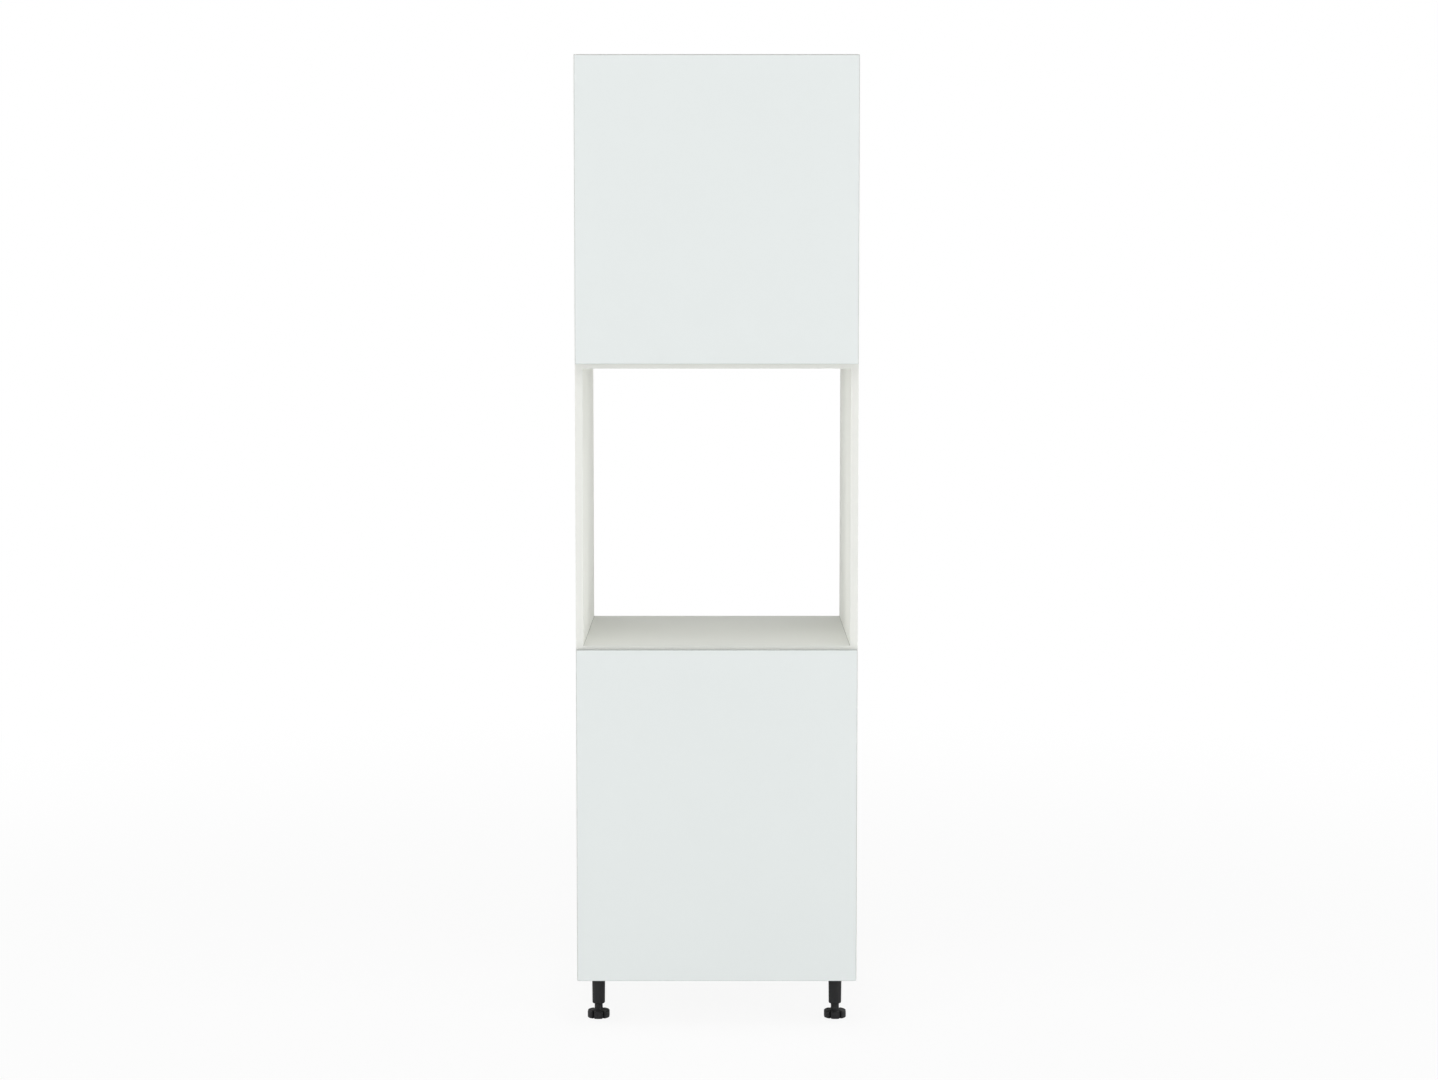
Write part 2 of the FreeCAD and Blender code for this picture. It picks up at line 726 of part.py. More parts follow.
def makeArm(label, height):
    """A channel arm: its web faces into the carcass and its two cheeks carry both fixed pivots."""
    arm = newBody(f"{label}Arm", doorEdge, doorBack, height)
    low = f"({plateFace} + armLift)"
    side = newSketch(arm, f"{label}ArmSide", "XY_Plane")
    web = "(outerFixedAcross + 4)"
    outline(side, [
        (low, "armTail"),
        (low, "armBend"),
        ("outerFixedAcross - 2.7", "3.5 - outerFixedAhead"),
        ("outerFixedAcross - 2.7", "-1 - outerFixedAhead"),
        ("innerFixedAcross - 2.3", "1 - innerFixedAhead"),
        ("innerFixedAcross - 1.3", "-eyeRadius - innerFixedAhead"),
        ("innerFixedAcross + 1.3", "-eyeRadius - innerFixedAhead"),
        ("innerFixedAcross + eyeRadius", "-innerFixedAhead"),
        ("innerFixedAcross + eyeRadius", "3.5 - innerFixedAhead"),
        (web, "-outerFixedAhead"),
        (f"{web} - 0.5", "6 - outerFixedAhead"),
        (armWeb, "armBend - 2"),
        (armWeb, "armTail"),
    ])
    extrude(arm, "Pad", side, "2 * (cheekHalf + steelThickness)", symmetric=True)
    channel = newSketch(arm, f"{label}ArmChannel", "XY_Plane")
    inner = f"({armWeb} - steelThickness)"
    outline(channel, [
        (inner, "armTail + 2"),
        (inner, "armBend - 1.7"),
        (f"{web} - 0.4 - steelThickness", "6.3 - outerFixedAhead"),
        (f"{web} - steelThickness", "0.2 - outerFixedAhead"),
        ("innerFixedAcross + eyeRadius - 1.3", "3.5 - innerFixedAhead"),
        ("innerFixedAcross + 5", "3.5 - innerFixedAhead"),
        ("innerFixedAcross + 5", "-5 - innerFixedAhead"),
        ("10", "-5 - innerFixedAhead"),
        ("10", "armTail + 2"),
    ])
    extrude(arm, "Pocket", channel, "2 * cheekHalf", symmetric=True)
    cheek = "(cheekHalf + steelThickness / 2)"
    outside = "(outerPlateHalf + steelThickness + pivotSlack)"
    pins = [
        pivot("OuterArmPin", outerFixed, height, f"-{outside}", outside, "pivotRadius"),
        pivot("InnerArmPin", innerFixed, height, f"-{cheek}", cheek, "pivotRadius"),
    ]
    subPart(fused(f"{label}ArmPinned", [arm] + pins), f"{label}_hinge_arm")


def makeOuterLink(label, height):
    """Two bent plates, outside the arm and inside the cup, joined by a short web."""
    reach = "(outerPlateHalf + steelThickness)"
    spots = [
        outerOnDoor,
        ("outerBendAcross", "outerBendAhead"),
        ("outerKneeAcross", "outerKneeAhead"),
        ("outerElbowAcross", "outerElbowAhead"),
        outerFixed,
    ]
    bars = [strip("LinkBar", a, b, height, "linkHalfWidth", reach) for a, b in zip(spots, spots[1:])]
    for number, spot in enumerate(spots):
        ends = number in (0, len(spots) - 1)
        radius, flats = ("eyeRadius", "mediumFlats") if ends else ("linkHalfWidth", "smallFlats")
        bars.append(pivot("LinkBend", spot, height, f"-{reach}", reach, radius, flats))
    gap = plateBlock("LinkGap", ("0", "50"), ("-30", "20"), height, ("-outerPlateHalf", "outerPlateHalf"))
    plates = carved("LinkPlates", fused("LinkSolid", bars), [gap])
    across = "(outerFixedAcross - outerElbowAcross)"
    down = "(outerElbowAhead - outerFixedAhead)"
    whole = f"sqrt({across}^2 + {down}^2)"
    aside = "(linkHalfWidth - steelThickness / 2)"
    ends = []
    for along in (1, 6):
        ends.append((
            f"(outerElbowAcross + ({across} * {along} - {down} * {aside}) / {whole})",
            f"(outerElbowAhead - ({down} * {along} + {across} * {aside}) / {whole})",
        ))
    web = strip("LinkWeb", ends[0], ends[1], height, "(steelThickness / 2)", reach)
    holes = [
        pivot("LinkHole", spot, height, "-10", "10", "pivotRadius + pivotSlack")
        for spot in (outerOnDoor, outerFixed)
    ]
    subPart(carved("OuterLink", fused("OuterLinkBody", [plates, web]), holes), f"{label}_outer_link")


def makeInnerLink(label, height):
    """A short solid link; the eye on the cup's side is wide enough for the pin to wander in."""
    reach = "innerLinkHalf"
    bar = strip("InnerBar", looseEye, innerFixed, height, "innerLinkWidth", reach)
    lug = pivot("InnerLugEye", looseEye, height, f"-{reach}", reach, "looseLugRadius", "largeFlats")
    eye = pivot("InnerEye", innerFixed, height, f"-{reach}", reach, "eyeRadius")
    holes = [
        pivot("LooseHole", looseEye, height, "-10", "10", "looseEyeRadius", "largeFlats"),
        pivot("InnerPivotHole", innerFixed, height, "-10", "10", "pivotRadius + pivotSlack"),
    ]
    subPart(carved("InnerLink", fused("InnerLinkBody", [bar, lug, eye]), holes), f"{label}_inner_link")


def makePlate(label, height):
    """A screwed mounting plate with a saddle that the arm sits over."""
    base = plateBlock("PlateBase", (panelAcross, plateFace), ("-saddleEnd", "-saddleStart"), height,
                      ("-plateHalfWidth", "plateHalfWidth"))
    wings = plateBlock(
        "PlateWings", (panelAcross, plateFace),
        (f"-({screwRow} + plateWing / 2)", f"plateWing / 2 - {screwRow}"), height,
        ("-plateHalfHeight", "plateHalfHeight"),
    )
    saddle = plateBlock("PlateSaddle", (panelAcross, saddleFace), ("-saddleEnd", "-saddleStart"), height,
                        ("-saddleHalf", "saddleHalf"))
    subPart(fused("Plate", [base, wings, saddle]), f"{label}_hinge_plate")


# Push-to-open latches and wall brackets

latchX = "(unitWidth / 2 - boardThickness - latchInset)"
latchFront = f"({front} + latchSetback)"
latches = {
    "lower": {"base": floorUnder, "low": f"({floorUnder} - latchHeight)", "into": "+Z"},
    "upper": {"base": ceilingTop, "low": ceilingTop, "into": "-Z"},
}


def makeLatch(name, latch):
    axis = f"({latch['low']} + latchHeight / 2)"
    shell = block(f"{name}LatchShell", f"{latchX} - latchWidth / 2", latchFront, latch["low"],
                  "latchWidth", "latchLength", "latchHeight")
    bore = peg("LatchBore", latchX, f"{latchFront} - 1", axis, "+Y",
               "plungerRadius + runningSlack", "latchBore + 1", "largeFlats")
    subPart(carved(f"{name}Latch", shell, [bore]), f"{name}_latch_housing")
    strikeFace = f"({doorBack} + strikeThickness)"
    tip = f"({strikeFace} + runningSlack)"
    plunger = peg(f"{name}Plunger", latchX, tip, axis, "+Y",
                  "plungerRadius", "plungerLength", "largeFlats")
    subPart(plunger, f"{name}_latch_plunger")
    strike = block(f"{name}Strike", f"{latchX} - strikeWidth / 2", doorBack,
                   f"{axis} - strikeWidth / 2", "strikeWidth", "strikeThickness", "strikeWidth")
    subPart(strike, f"{name}_strike_plate")


def makeBrackets():
    """Angles under the top board that two screws tie to the wall."""
    brackets = []
    for x in ("(-bracketSpread)", "bracketSpread"):
        low = f"({x} - bracketWidth / 2)"
        upright = block("BracketUpright", low, f"{backFrontFace} - bracketThickness",
                        f"{topUnder} - bracketLeg", "bracketWidth", "bracketThickness", "bracketLeg")
        flat = block("BracketFlat", low, f"{backFrontFace} - bracketLeg",
                     f"{topUnder} - bracketThickness", "bracketWidth", "bracketLeg", "bracketThickness")
        hole = rod("BracketHole", x, f"{backFrontFace} - 5", f"{topUnder} - wallHoleDrop", "+Y",
                   "wallHoleRadius", "10")
        brackets.append(carved("Bracket", fused("BracketBody", [upright, flat]), [hole]))
    subPart(compound("WallBrackets", brackets), "wall_brackets")


makeSheet()
for sideName, sideShape in sides.items():
    makeSide(sideName, sideShape)
for boardName, boardShape in boards.items():
    makeBoard(boardName, boardShape)
makeBack("lower", bottomTop, floorUnder)
makeBack("upper", ceilingTop, topUnder)
for shelfName, shelfHeight in shelves.items():
    makeShelf(shelfName, shelfHeight)
makeShelfPins()
makeJointFittings()
makeSockets()
makeLegs()
for doorShape in (lowerDoor, upperDoor):
    makeDoor(doorShape)
    makeCups(doorShape)
    for hingeEnd, hingeHeight in hingeHeights(doorShape).items():
        hingeName = f"{doorShape['name']}_{hingeEnd}"
        makeArm(hingeName, hingeHeight)
        makeOuterLink(hingeName, hingeHeight)
        makeInnerLink(hingeName, hingeHeight)
        makePlate(hingeName, hingeHeight)
for latchName, latchShape in latches.items():
    makeLatch(latchName, latchShape)
makeBrackets()

doc.recompute()
failed = [thing.Name for thing in doc.Objects if "Invalid" in thing.State or "Error" in thing.State]
if failed:
    raise RuntimeError(f"features failed: {failed}")
os.makedirs("parts", exist_ok=True)
for thing in subParts:
    shape = thing.Shape
    if shape.isNull() or not shape.isValid():
        raise RuntimeError(f"{thing.Label} has no valid shape")
for thing in subParts:
    thing.Shape.exportStep(f"parts/{thing.Label}.step")
    box = thing.Shape.BoundBox
    print(thing.Label, len(thing.Shape.Solids), round(thing.Shape.Volume),
          [round(v, 1) for v in (box.XMin, box.XMax, box.YMin, box.YMax, box.ZMin, box.ZMax)])
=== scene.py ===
import math

import bmesh
import bpy
from mathutils import Matrix, Vector


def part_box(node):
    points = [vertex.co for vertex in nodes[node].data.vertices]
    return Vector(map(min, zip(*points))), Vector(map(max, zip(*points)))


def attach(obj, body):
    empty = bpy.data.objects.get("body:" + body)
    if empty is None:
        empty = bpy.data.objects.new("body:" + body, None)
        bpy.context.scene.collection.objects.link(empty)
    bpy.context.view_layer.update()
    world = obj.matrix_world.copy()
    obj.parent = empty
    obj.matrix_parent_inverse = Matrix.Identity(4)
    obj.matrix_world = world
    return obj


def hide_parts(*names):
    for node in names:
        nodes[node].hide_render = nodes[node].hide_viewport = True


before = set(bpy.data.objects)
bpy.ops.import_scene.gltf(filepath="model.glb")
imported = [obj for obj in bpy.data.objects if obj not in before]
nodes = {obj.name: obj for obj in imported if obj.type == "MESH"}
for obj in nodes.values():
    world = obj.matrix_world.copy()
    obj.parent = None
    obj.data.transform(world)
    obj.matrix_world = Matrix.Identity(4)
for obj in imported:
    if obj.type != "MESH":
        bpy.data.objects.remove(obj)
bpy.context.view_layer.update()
mm = 0.001
doors = ("lower", "upper")
hingeEnds = ("bottom", "top")
legPlaces = ("front_left", "front_right", "rear_left", "rear_right")
print("frame loaded:", len(nodes), "nodes")


# Camera, at the photograph's viewing angle

photoView = {
    "place": (0, -6.566, 1.612),
    "pitch": 4.837,  # degrees below the level
    "turn": 0.043,  # degrees to the right
    "lens": 74.55,
    "shift": -0.01,
}

cameraData = bpy.data.cameras.new("photoCamera")
cameraData.lens = photoView["lens"]
cameraData.shift_y = photoView["shift"]
camera = bpy.data.objects.new("photoCamera", cameraData)
camera.location = photoView["place"]
camera.rotation_euler = (math.radians(90 - photoView["pitch"]), 0, math.radians(-photoView["turn"]))
bpy.context.scene.collection.objects.link(camera)
bpy.context.scene.camera = camera
bpy.context.scene.view_settings.view_transform = "Standard"


# Shader helpers

# Screen values from 0 to 255 as the scene's linear ones.
def toLinear(colour):
    channels = [value / 255 for value in colour]
    return [v / 12.92 if v <= 0.04045 else ((v + 0.055) / 1.055) ** 2.4 for v in channels] + [1]


def addNode(tree, kind, inputs=None, **settings):
    node = tree.nodes.new(kind)
    for name, value in settings.items():
        setattr(node, name, value)
    for key, value in (inputs or {}).items():
        if isinstance(value, bpy.types.NodeSocket):
            tree.links.new(value, node.inputs[key])
        else:
            node.inputs[key].default_value = value
    return node


def compute(tree, operation, *values):
    return addNode(tree, "ShaderNodeMath", dict(enumerate(values)), operation=operation).outputs[0]


def vectorCompute(tree, operation, *values):
    node = addNode(tree, "ShaderNodeVectorMath", dict(enumerate(values)), operation=operation)
    return node.outputs[0]


def mixColour(tree, factor, first, second):
    node = addNode(tree, "ShaderNodeMix", {}, data_type="RGBA")
    for index, value in ((0, factor), (6, first), (7, second)):
        if isinstance(value, bpy.types.NodeSocket):
            tree.links.new(value, node.inputs[index])
        else:
            node.inputs[index].default_value = value
    return node.outputs[2]


def mixValue(tree, factor, first, second):
    return addNode(tree, "ShaderNodeMix", {0: factor, 2: first, 3: second}).outputs[0]


# From one screen colour to another; each end is (position, colour).
def colourRamp(tree, value, low, high):
    node = addNode(tree, "ShaderNodeValToRGB", {0: value})
    for element, (position, colour) in zip(node.color_ramp.elements, (low, high)):
        element.position, element.color = position, toLinear(colour)
    return node.outputs[0]


def newGroup(name, inputs, outputs):
    group = bpy.data.node_groups.new(name, "ShaderNodeTree")
    for label, value in inputs.items():
        kind = "NodeSocketVector" if isinstance(value, tuple) else "NodeSocketFloat"
        socket = group.interface.new_socket(label, in_out="INPUT", socket_type=kind)
        socket.default_value = value
    for label, kind in outputs.items():
        group.interface.new_socket(label, in_out="OUTPUT", socket_type=f"NodeSocket{kind}")
    given = group.nodes.new("NodeGroupInput").outputs
    return group, given, group.nodes.new("NodeGroupOutput").inputs


def useGroup(tree, group, **inputs):
    node = tree.nodes.new("ShaderNodeGroup")
    node.node_tree = group
    for name, value in inputs.items():
        node.inputs[name].default_value = value
    return node.outputs


def objectPlace(tree):
    return addNode(tree, "ShaderNodeTexCoord").outputs["Object"]


# Shared effects

edgeLines = {
    "jointHalf": 0.00012,
    # The line drawn along the board ends is painted shade in the corners where they meet the sides.
    "frontDepth": 0.0005,  # no seam is drawn on the front edge itself
}


# Where a board is cut open, where its edge band meets its face, and painted shade where its ends meet the
# sides.
def makePanelEdges():
    group, given, out = newGroup(
        "panelEdges",
        {"Low": (0.0, 0.0, 0.0), "High": (0.0, 0.0, 0.0), "Ignore": (0.0, 0.0, 0.0),
         "Band": 0.001, "Skin": 0.0002, "Ends": 0.0003, "Rim": 0.0},
        {"Inside": "Float", "Joint": "Float", "Seam": "Float", "Rim": "Float"},
    )
    place = objectPlace(group)
    fromLow = vectorCompute(group, "SUBTRACT", place, given["Low"])
    fromHigh = vectorCompute(group, "SUBTRACT", given["High"], place)
    nearest = vectorCompute(group, "MINIMUM", fromLow, fromHigh)
    x, y, z = addNode(group, "ShaderNodeSeparateXYZ", {0: nearest}).outputs
    depth = compute(group, "MINIMUM", compute(group, "MINIMUM", x, y), z)
    group.links.new(compute(group, "GREATER_THAN", depth, given["Skin"]), out["Inside"])
    counted = vectorCompute(group, "ADD", nearest, given["Ignore"])
    bandX, bandY, bandZ = addNode(group, "ShaderNodeSeparateXYZ", {0: counted}).outputs
    edge = compute(group, "MINIMUM", compute(group, "MINIMUM", bandX, bandY), bandZ)
    away = compute(group, "ABSOLUTE", compute(group, "SUBTRACT", edge, given["Band"]))
    group.links.new(compute(group, "LESS_THAN", away, edgeLines["jointHalf"]), out["Joint"])
    # Rim: a door's edge band and rounding, darker partly through the band's own tone and partly as painted
    # shade for the gap lines.
    group.links.new(compute(group, "LESS_THAN", edge, given["Rim"]), out["Rim"])
    # Painted shade: a dark line along a board's ends, in the corners where they meet the sides.
    behindFront = compute(group, "GREATER_THAN", y, edgeLines["frontDepth"])
    ends = compute(group, "LESS_THAN", x, given["Ends"])
    group.links.new(compute(group, "MULTIPLY", ends, behindFront), out["Seam"])
    return group


# Pressed chips: pale flakes in a darker binder.
def makeChipCore():
    group, given, out = newGroup("chipCore", {"Scale": 420.0}, {"Colour": "Color", "Height": "Float"})
    place = objectPlace(group)
    flakes = addNode(group, "ShaderNodeTexVoronoi", {"Vector": place, "Scale": given["Scale"]})
    dust = addNode(group, "ShaderNodeTexNoise", {"Vector": place, "Scale": 1600.0, "Detail": 3.0})
    flake = addNode(group, "ShaderNodeSeparateColor", {0: flakes.outputs["Color"]}).outputs[0]
    blend = mixValue(group, 0.45, flake, dust.outputs["Fac"])
    colour = colourRamp(group, blend, (0.2, (132, 96, 60)), (0.8, (214, 184, 142)))
    group.links.new(colour, out["Colour"])
    group.links.new(blend, out["Height"])
    return group


# Fine brown fibres of a thin hard board.
def makeHardCore():
    group, given, out = newGroup("hardCore", {"Scale": 900.0}, {"Colour": "Color", "Height": "Float"})
    place = objectPlace(group)
    fibres = addNode(group, "ShaderNodeTexNoise", {"Vector": place, "Scale": given["Scale"], "Detail": 5.0})
    clouds = addNode(group, "ShaderNodeTexNoise", {"Vector": place, "Scale": 14.0, "Detail": 3.0})
    blend = mixValue(group, 0.4, fibres.outputs["Fac"], clouds.outputs["Fac"])
    colour = colourRamp(group, blend, (0.3, (138, 106, 74)), (0.7, (170, 136, 98)))
    group.links.new(colour, out["Colour"])
    group.links.new(fibres.outputs["Fac"], out["Height"])
    return group


# A fine texture with slow clouds under it: laminate, moulded plastic and cast metal.
def makeFineGrain():
    group, given, out = newGroup(
        "fineGrain", {"Grain": 1500.0, "Cloud": 3.0, "Stretch": (1.0, 1.0, 1.0)},
        {"Height": "Float", "Clouds": "Float"},
    )
    place = vectorCompute(group, "MULTIPLY", objectPlace(group), given["Stretch"])
    grain = addNode(group, "ShaderNodeTexNoise", {"Vector": place, "Scale": given["Grain"], "Detail": 2.0})
    clouds = addNode(group, "ShaderNodeTexNoise", {"Vector": place, "Scale": given["Cloud"], "Detail": 3.0})
    group.links.new(grain.outputs["Fac"], out["Height"])
    group.links.new(clouds.outputs["Fac"], out["Clouds"])
    return group


# Long fibres and pores of turned beech, along X.
def makeWoodGrain():
    group, given, out = newGroup("woodGrain", {"Scale": 260.0}, {"Colour": "Color", "Height": "Float"})
    place = vectorCompute(group, "MULTIPLY", objectPlace(group), (0.12, 1.0, 1.0))
    fibres = addNode(group, "ShaderNodeTexNoise", {"Vector": place, "Scale": given["Scale"], "Detail": 4.0})
    colour = colourRamp(group, fibres.outputs["Fac"], (0.3, (176, 134, 92)), (0.7, (212, 176, 132)))
    group.links.new(colour, out["Colour"])
    group.links.new(fibres.outputs["Fac"], out["Height"])
    return group


panelEdges = makePanelEdges()
chipCore = makeChipCore()
hardCore = makeHardCore()
fineGrain = makeFineGrain()
woodGrain = makeWoodGrain()
print("shared effects built")


# Materials

def newMaterial(name, **sockets):
    material = bpy.data.materials.new(name)
    material.use_nodes = True
    tree = material.node_tree
    tree.nodes.clear()
    shader = addNode(tree, "ShaderNodeBsdfPrincipled")
    for label, value in sockets.items():
        shader.inputs[label.replace("_", " ")].default_value = value
    output = addNode(tree, "ShaderNodeOutputMaterial")
    tree.links.new(shader.outputs[0], output.inputs["Surface"])
    return material, tree, shader


def giveBump(tree, shader, height, depth):
    bump = addNode(tree, "ShaderNodeBump", {"Height": height, "Distance": depth, "Strength": 1.0})
    tree.links.new(bump.outputs[0], shader.inputs["Normal"])


# Laminated board; what lies inside the box shows the board's core.
def panelMaterial(name, box, look):
    low, high = box
    material, tree, shader = newMaterial(name, Specular_IOR_Level=look["specular"])
    edges = useGroup(tree, panelEdges, Low=low, High=high, Ignore=look["ignore"], Band=look["band"],
                     Skin=look["skin"], Ends=look["ends"], Rim=look["rim"])
    grain = useGroup(tree, fineGrain, Grain=look["grainScale"], Cloud=look["cloudScale"], Stretch=(1, 1, 1))
    core = useGroup(tree, look["core"])
    pale, deep = toLinear(look["colour"]), toLinear([value - look["cloudDrop"] for value in look["colour"]])
    face = mixColour(tree, grain["Clouds"], pale, deep)
    if "backColour" in look:
        y = addNode(tree, "ShaderNodeSeparateXYZ", {0: objectPlace(tree)}).outputs[1]
        behind = compute(tree, "GREATER_THAN", y, high[1] - look["backSkin"])
        face = mixColour(tree, behind, face, toLinear(look["backColour"]))
    # Darker door rim: partly the edge band's own tone, partly painted shade along the gaps at the door edges.
    if look["rim"]:
        face = mixColour(tree, edges["Rim"], face, toLinear(look["rimToneAndShadeColour"]))
    jointed = mixColour(tree, compute(tree, "MULTIPLY", edges["Joint"], look["jointDepth"]), face,
                        toLinear(look["jointColour"]))
    # Painted shade darkens the board ends where they meet the sides.
    seamShaded = mixColour(tree, compute(tree, "MULTIPLY", edges["Seam"], look["seamShadeDepth"]), jointed,
                       toLinear(look["seamShadeColour"]))
    colour = mixColour(tree, edges["Inside"], seamShaded, core["Colour"])
    tree.links.new(colour, shader.inputs["Base Color"])
    spread = look["roughSpread"]
    gloss = mixValue(tree, grain["Clouds"], look["rough"] - spread, look["rough"] + spread)
    tree.links.new(mixValue(tree, edges["Inside"], gloss, look["coreRough"]), shader.inputs["Roughness"])
    coarse = compute(tree, "MULTIPLY", core["Height"], look["coreRelief"])
    giveBump(tree, shader, mixValue(tree, edges["Inside"], grain["Height"], coarse), look["grainDepth"])
    return material


plasticLook = {"cloudScale": 30.0, "shade": 0.88, "roughSpread": 0.06}


def plasticMaterial(name, colour, rough, grainScale, grainDepth, specular=0.5):
    material, tree, shader = newMaterial(name, Specular_IOR_Level=specular)
    grain = useGroup(tree, fineGrain, Grain=grainScale, Cloud=plasticLook["cloudScale"], Stretch=(1, 1, 1))
    pale, deep = toLinear(colour), toLinear([value * plasticLook["shade"] for value in colour])
    tree.links.new(mixColour(tree, grain["Clouds"], pale, deep), shader.inputs["Base Color"])
    spread = plasticLook["roughSpread"]
    gloss = mixValue(tree, grain["Clouds"], rough - spread, rough + spread)
    tree.links.new(gloss, shader.inputs["Roughness"])
    giveBump(tree, shader, grain["Height"], grainDepth)
    return material


metalLook = {"cloudScale": 60.0, "shade": 0.9, "roughSpread": 0.08}


def metalMaterial(name, colour, rough, stretch, grainScale, grainDepth, metallic=1.0):
    material, tree, shader = newMaterial(name, Metallic=metallic)
    grain = useGroup(tree, fineGrain, Grain=grainScale, Cloud=metalLook["cloudScale"], Stretch=stretch)
    pale, deep = toLinear(colour), toLinear([value * metalLook["shade"] for value in colour])
    tree.links.new(mixColour(tree, grain["Height"], pale, deep), shader.inputs["Base Color"])
    spread = metalLook["roughSpread"]
    gloss = mixValue(tree, grain["Clouds"], rough - spread, rough + spread)
    tree.links.new(gloss, shader.inputs["Roughness"])
    giveBump(tree, shader, grain["Height"], grainDepth)
    return material


def woodMaterial(name):
    material, tree, shader = newMaterial(name, Roughness=0.7)
    grain = useGroup(tree, woodGrain)
    tree.links.new(grain["Colour"], shader.inputs["Base Color"])
    giveBump(tree, shader, grain["Height"], 0.00005)
    return material


# A node's box, grown by 1 mm on the faces named in bare, so that they show the core.
def nodeBox(node, bare=""):
    low, high = (list(corner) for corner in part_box(node))
    for face in bare.split():
        axis = "xyz".index(face[0])
        if face[1] == "+":
            high[axis] += mm
        else:
            low[axis] -= mm
    return low, high


carcassLook = {
    "colour": (235, 236, 231), "cloudDrop": 2, "rough": 0.62, "specular": 0.2,
    "grainScale": 1400.0, "grainDepth": 0.00003, "core": chipCore,
    "cloudScale": 2.5, "roughSpread": 0.05, "coreRough": 0.85, "coreRelief": 12.0,
    "ignore": (1, 0, 1), "band": 0.0008, "skin": 0.0002, "ends": 0.0, "rim": 0.0,
    # The seam colour is painted shade for the corners where the board ends meet the sides.
    "jointDepth": 0.35, "jointColour": (150, 148, 142), "seamShadeDepth": 0.0, "seamShadeColour": (96, 92, 84),
}
# The boards' ends get painted shade where they meet the sides.
boardLook = {**carcassLook, "ends": 0.0007, "seamShadeDepth": 0.65}
backLook = {**carcassLook, "rough": 0.5, "core": hardCore, "ignore": (1, 1, 1), "jointDepth": 0.0}
doorLook = {
    **carcassLook, "colour": (229, 234, 233), "rough": 0.5, "specular": 0.35,
    "backColour": (235, 236, 231), "backSkin": 0.0003,
    "grainScale": 1900.0, "grainDepth": 0.00002, "ignore": (0, 1, 0), "band": 0.0016, "skin": 0.0006,
    # The rim colour is partly the edge band's tone and partly painted shade for the dark lines at the door
    # gaps.
    "jointDepth": 0.15, "rim": 0.0009, "rimToneAndShadeColour": (198, 202, 200),
}
panels = {
    "left_side_panel": (carcassLook, "y+ z- z+"),
    "right_side_panel": (carcassLook, "y+ z- z+"),
    "bottom_panel": (boardLook, "y+"),
    "niche_floor_panel": (boardLook, "y+"),
    "niche_ceiling_panel": (boardLook, "y+"),
    "top_panel": (boardLook, "y+"),
    "lower_shelf": (carcassLook, "y+"),
    "upper_shelf": (carcassLook, "y+"),
    "lower_back_panel": (backLook, "x- x+ y+ z- z+"),
    "upper_back_panel": (backLook, "x- x+ y+ z- z+"),
    "lower_door": (doorLook, ""),
    "upper_door": (doorLook, ""),
}

blackPlastic = plasticMaterial("blackPlastic", (45, 45, 46), rough=0.6, grainScale=1300.0,
                               grainDepth=0.00003, specular=0.15)
greyPlastic = plasticMaterial("greyPlastic", (196, 198, 199), rough=0.4, grainScale=1500.0, grainDepth=0.00002)
rubber = plasticMaterial("rubber", (92, 93, 94), rough=0.6, grainScale=900.0, grainDepth=0.00003)
nickel = metalMaterial("nickel", (220, 217, 210), rough=0.28, stretch=(1, 1, 8), grainScale=260.0,
                       grainDepth=0.00001)
zincPlate = metalMaterial("zincPlate", (205, 206, 204), rough=0.34, stretch=(1, 1, 1), grainScale=500.0,
                          grainDepth=0.00001)
castZinc = metalMaterial("castZinc", (176, 178, 180), rough=0.46, stretch=(1, 1, 1), grainScale=900.0,
                         grainDepth=0.00003)
whiteSteel = metalMaterial("whiteSteel", (226, 226, 223), rough=0.4, stretch=(1, 1, 1), grainScale=1200.0,
                           grainDepth=0.00001, metallic=0.0)
beech = woodMaterial("beech")


def coat(piece, material):
    piece.data.materials.clear()
    piece.data.materials.append(material)


for name, (look, bare) in panels.items():
    coat(nodes[name], panelMaterial(f"{name}_board", nodeBox(name, bare), look))
for door in doors:
    coat(nodes[f"{door}_hinge_cups"], nickel)
    coat(nodes[f"{door}_strike_plate"], whiteSteel)
    for end in hingeEnds:
        for piece in ("hinge_arm", "outer_link", "inner_link", "hinge_plate"):
            coat(nodes[f"{door}_{end}_{piece}"], nickel)
coat(nodes["dowels"], beech)
coat(nodes["wall_brackets"], zincPlate)
print("materials given to the boards and fittings")


# Modelling helpers; sizes are in millimetres

overlap = 1  # how far a piece reaches into what it is joined to or cut from


def deselectAll():
    bpy.ops.object.select_all(action="DESELECT")


def work(piece):
    deselectAll()
    piece.select_set(True)
    bpy.context.view_layer.objects.active = piece


# In edit mode, select what the test picks.
def pick(kind, test):
    bpy.ops.mesh.select_mode(type=kind)
    bpy.ops.mesh.select_all(action="DESELECT")
    mesh = bmesh.from_edit_mesh(bpy.context.edit_object.data)
    for thing in {"VERT": mesh.verts, "EDGE": mesh.edges, "FACE": mesh.faces}[kind]:
        if test(thing):
            thing.select_set(True)
    bmesh.update_edit_mesh(bpy.context.edit_object.data)


# Name the piece, close and turn its faces outwards, and put its place in its mesh.
def settle(piece, name):
    work(piece)
    bpy.ops.object.mode_set(mode="EDIT")
    bpy.ops.mesh.select_all(action="SELECT")
    bpy.ops.mesh.remove_doubles(threshold=0.000002)
    bpy.ops.mesh.normals_make_consistent(inside=False)
    bpy.ops.object.mode_set(mode="OBJECT")
    bpy.ops.object.transform_apply(location=True, rotation=True, scale=True)
    piece.name = piece.data.name = name
    return piece


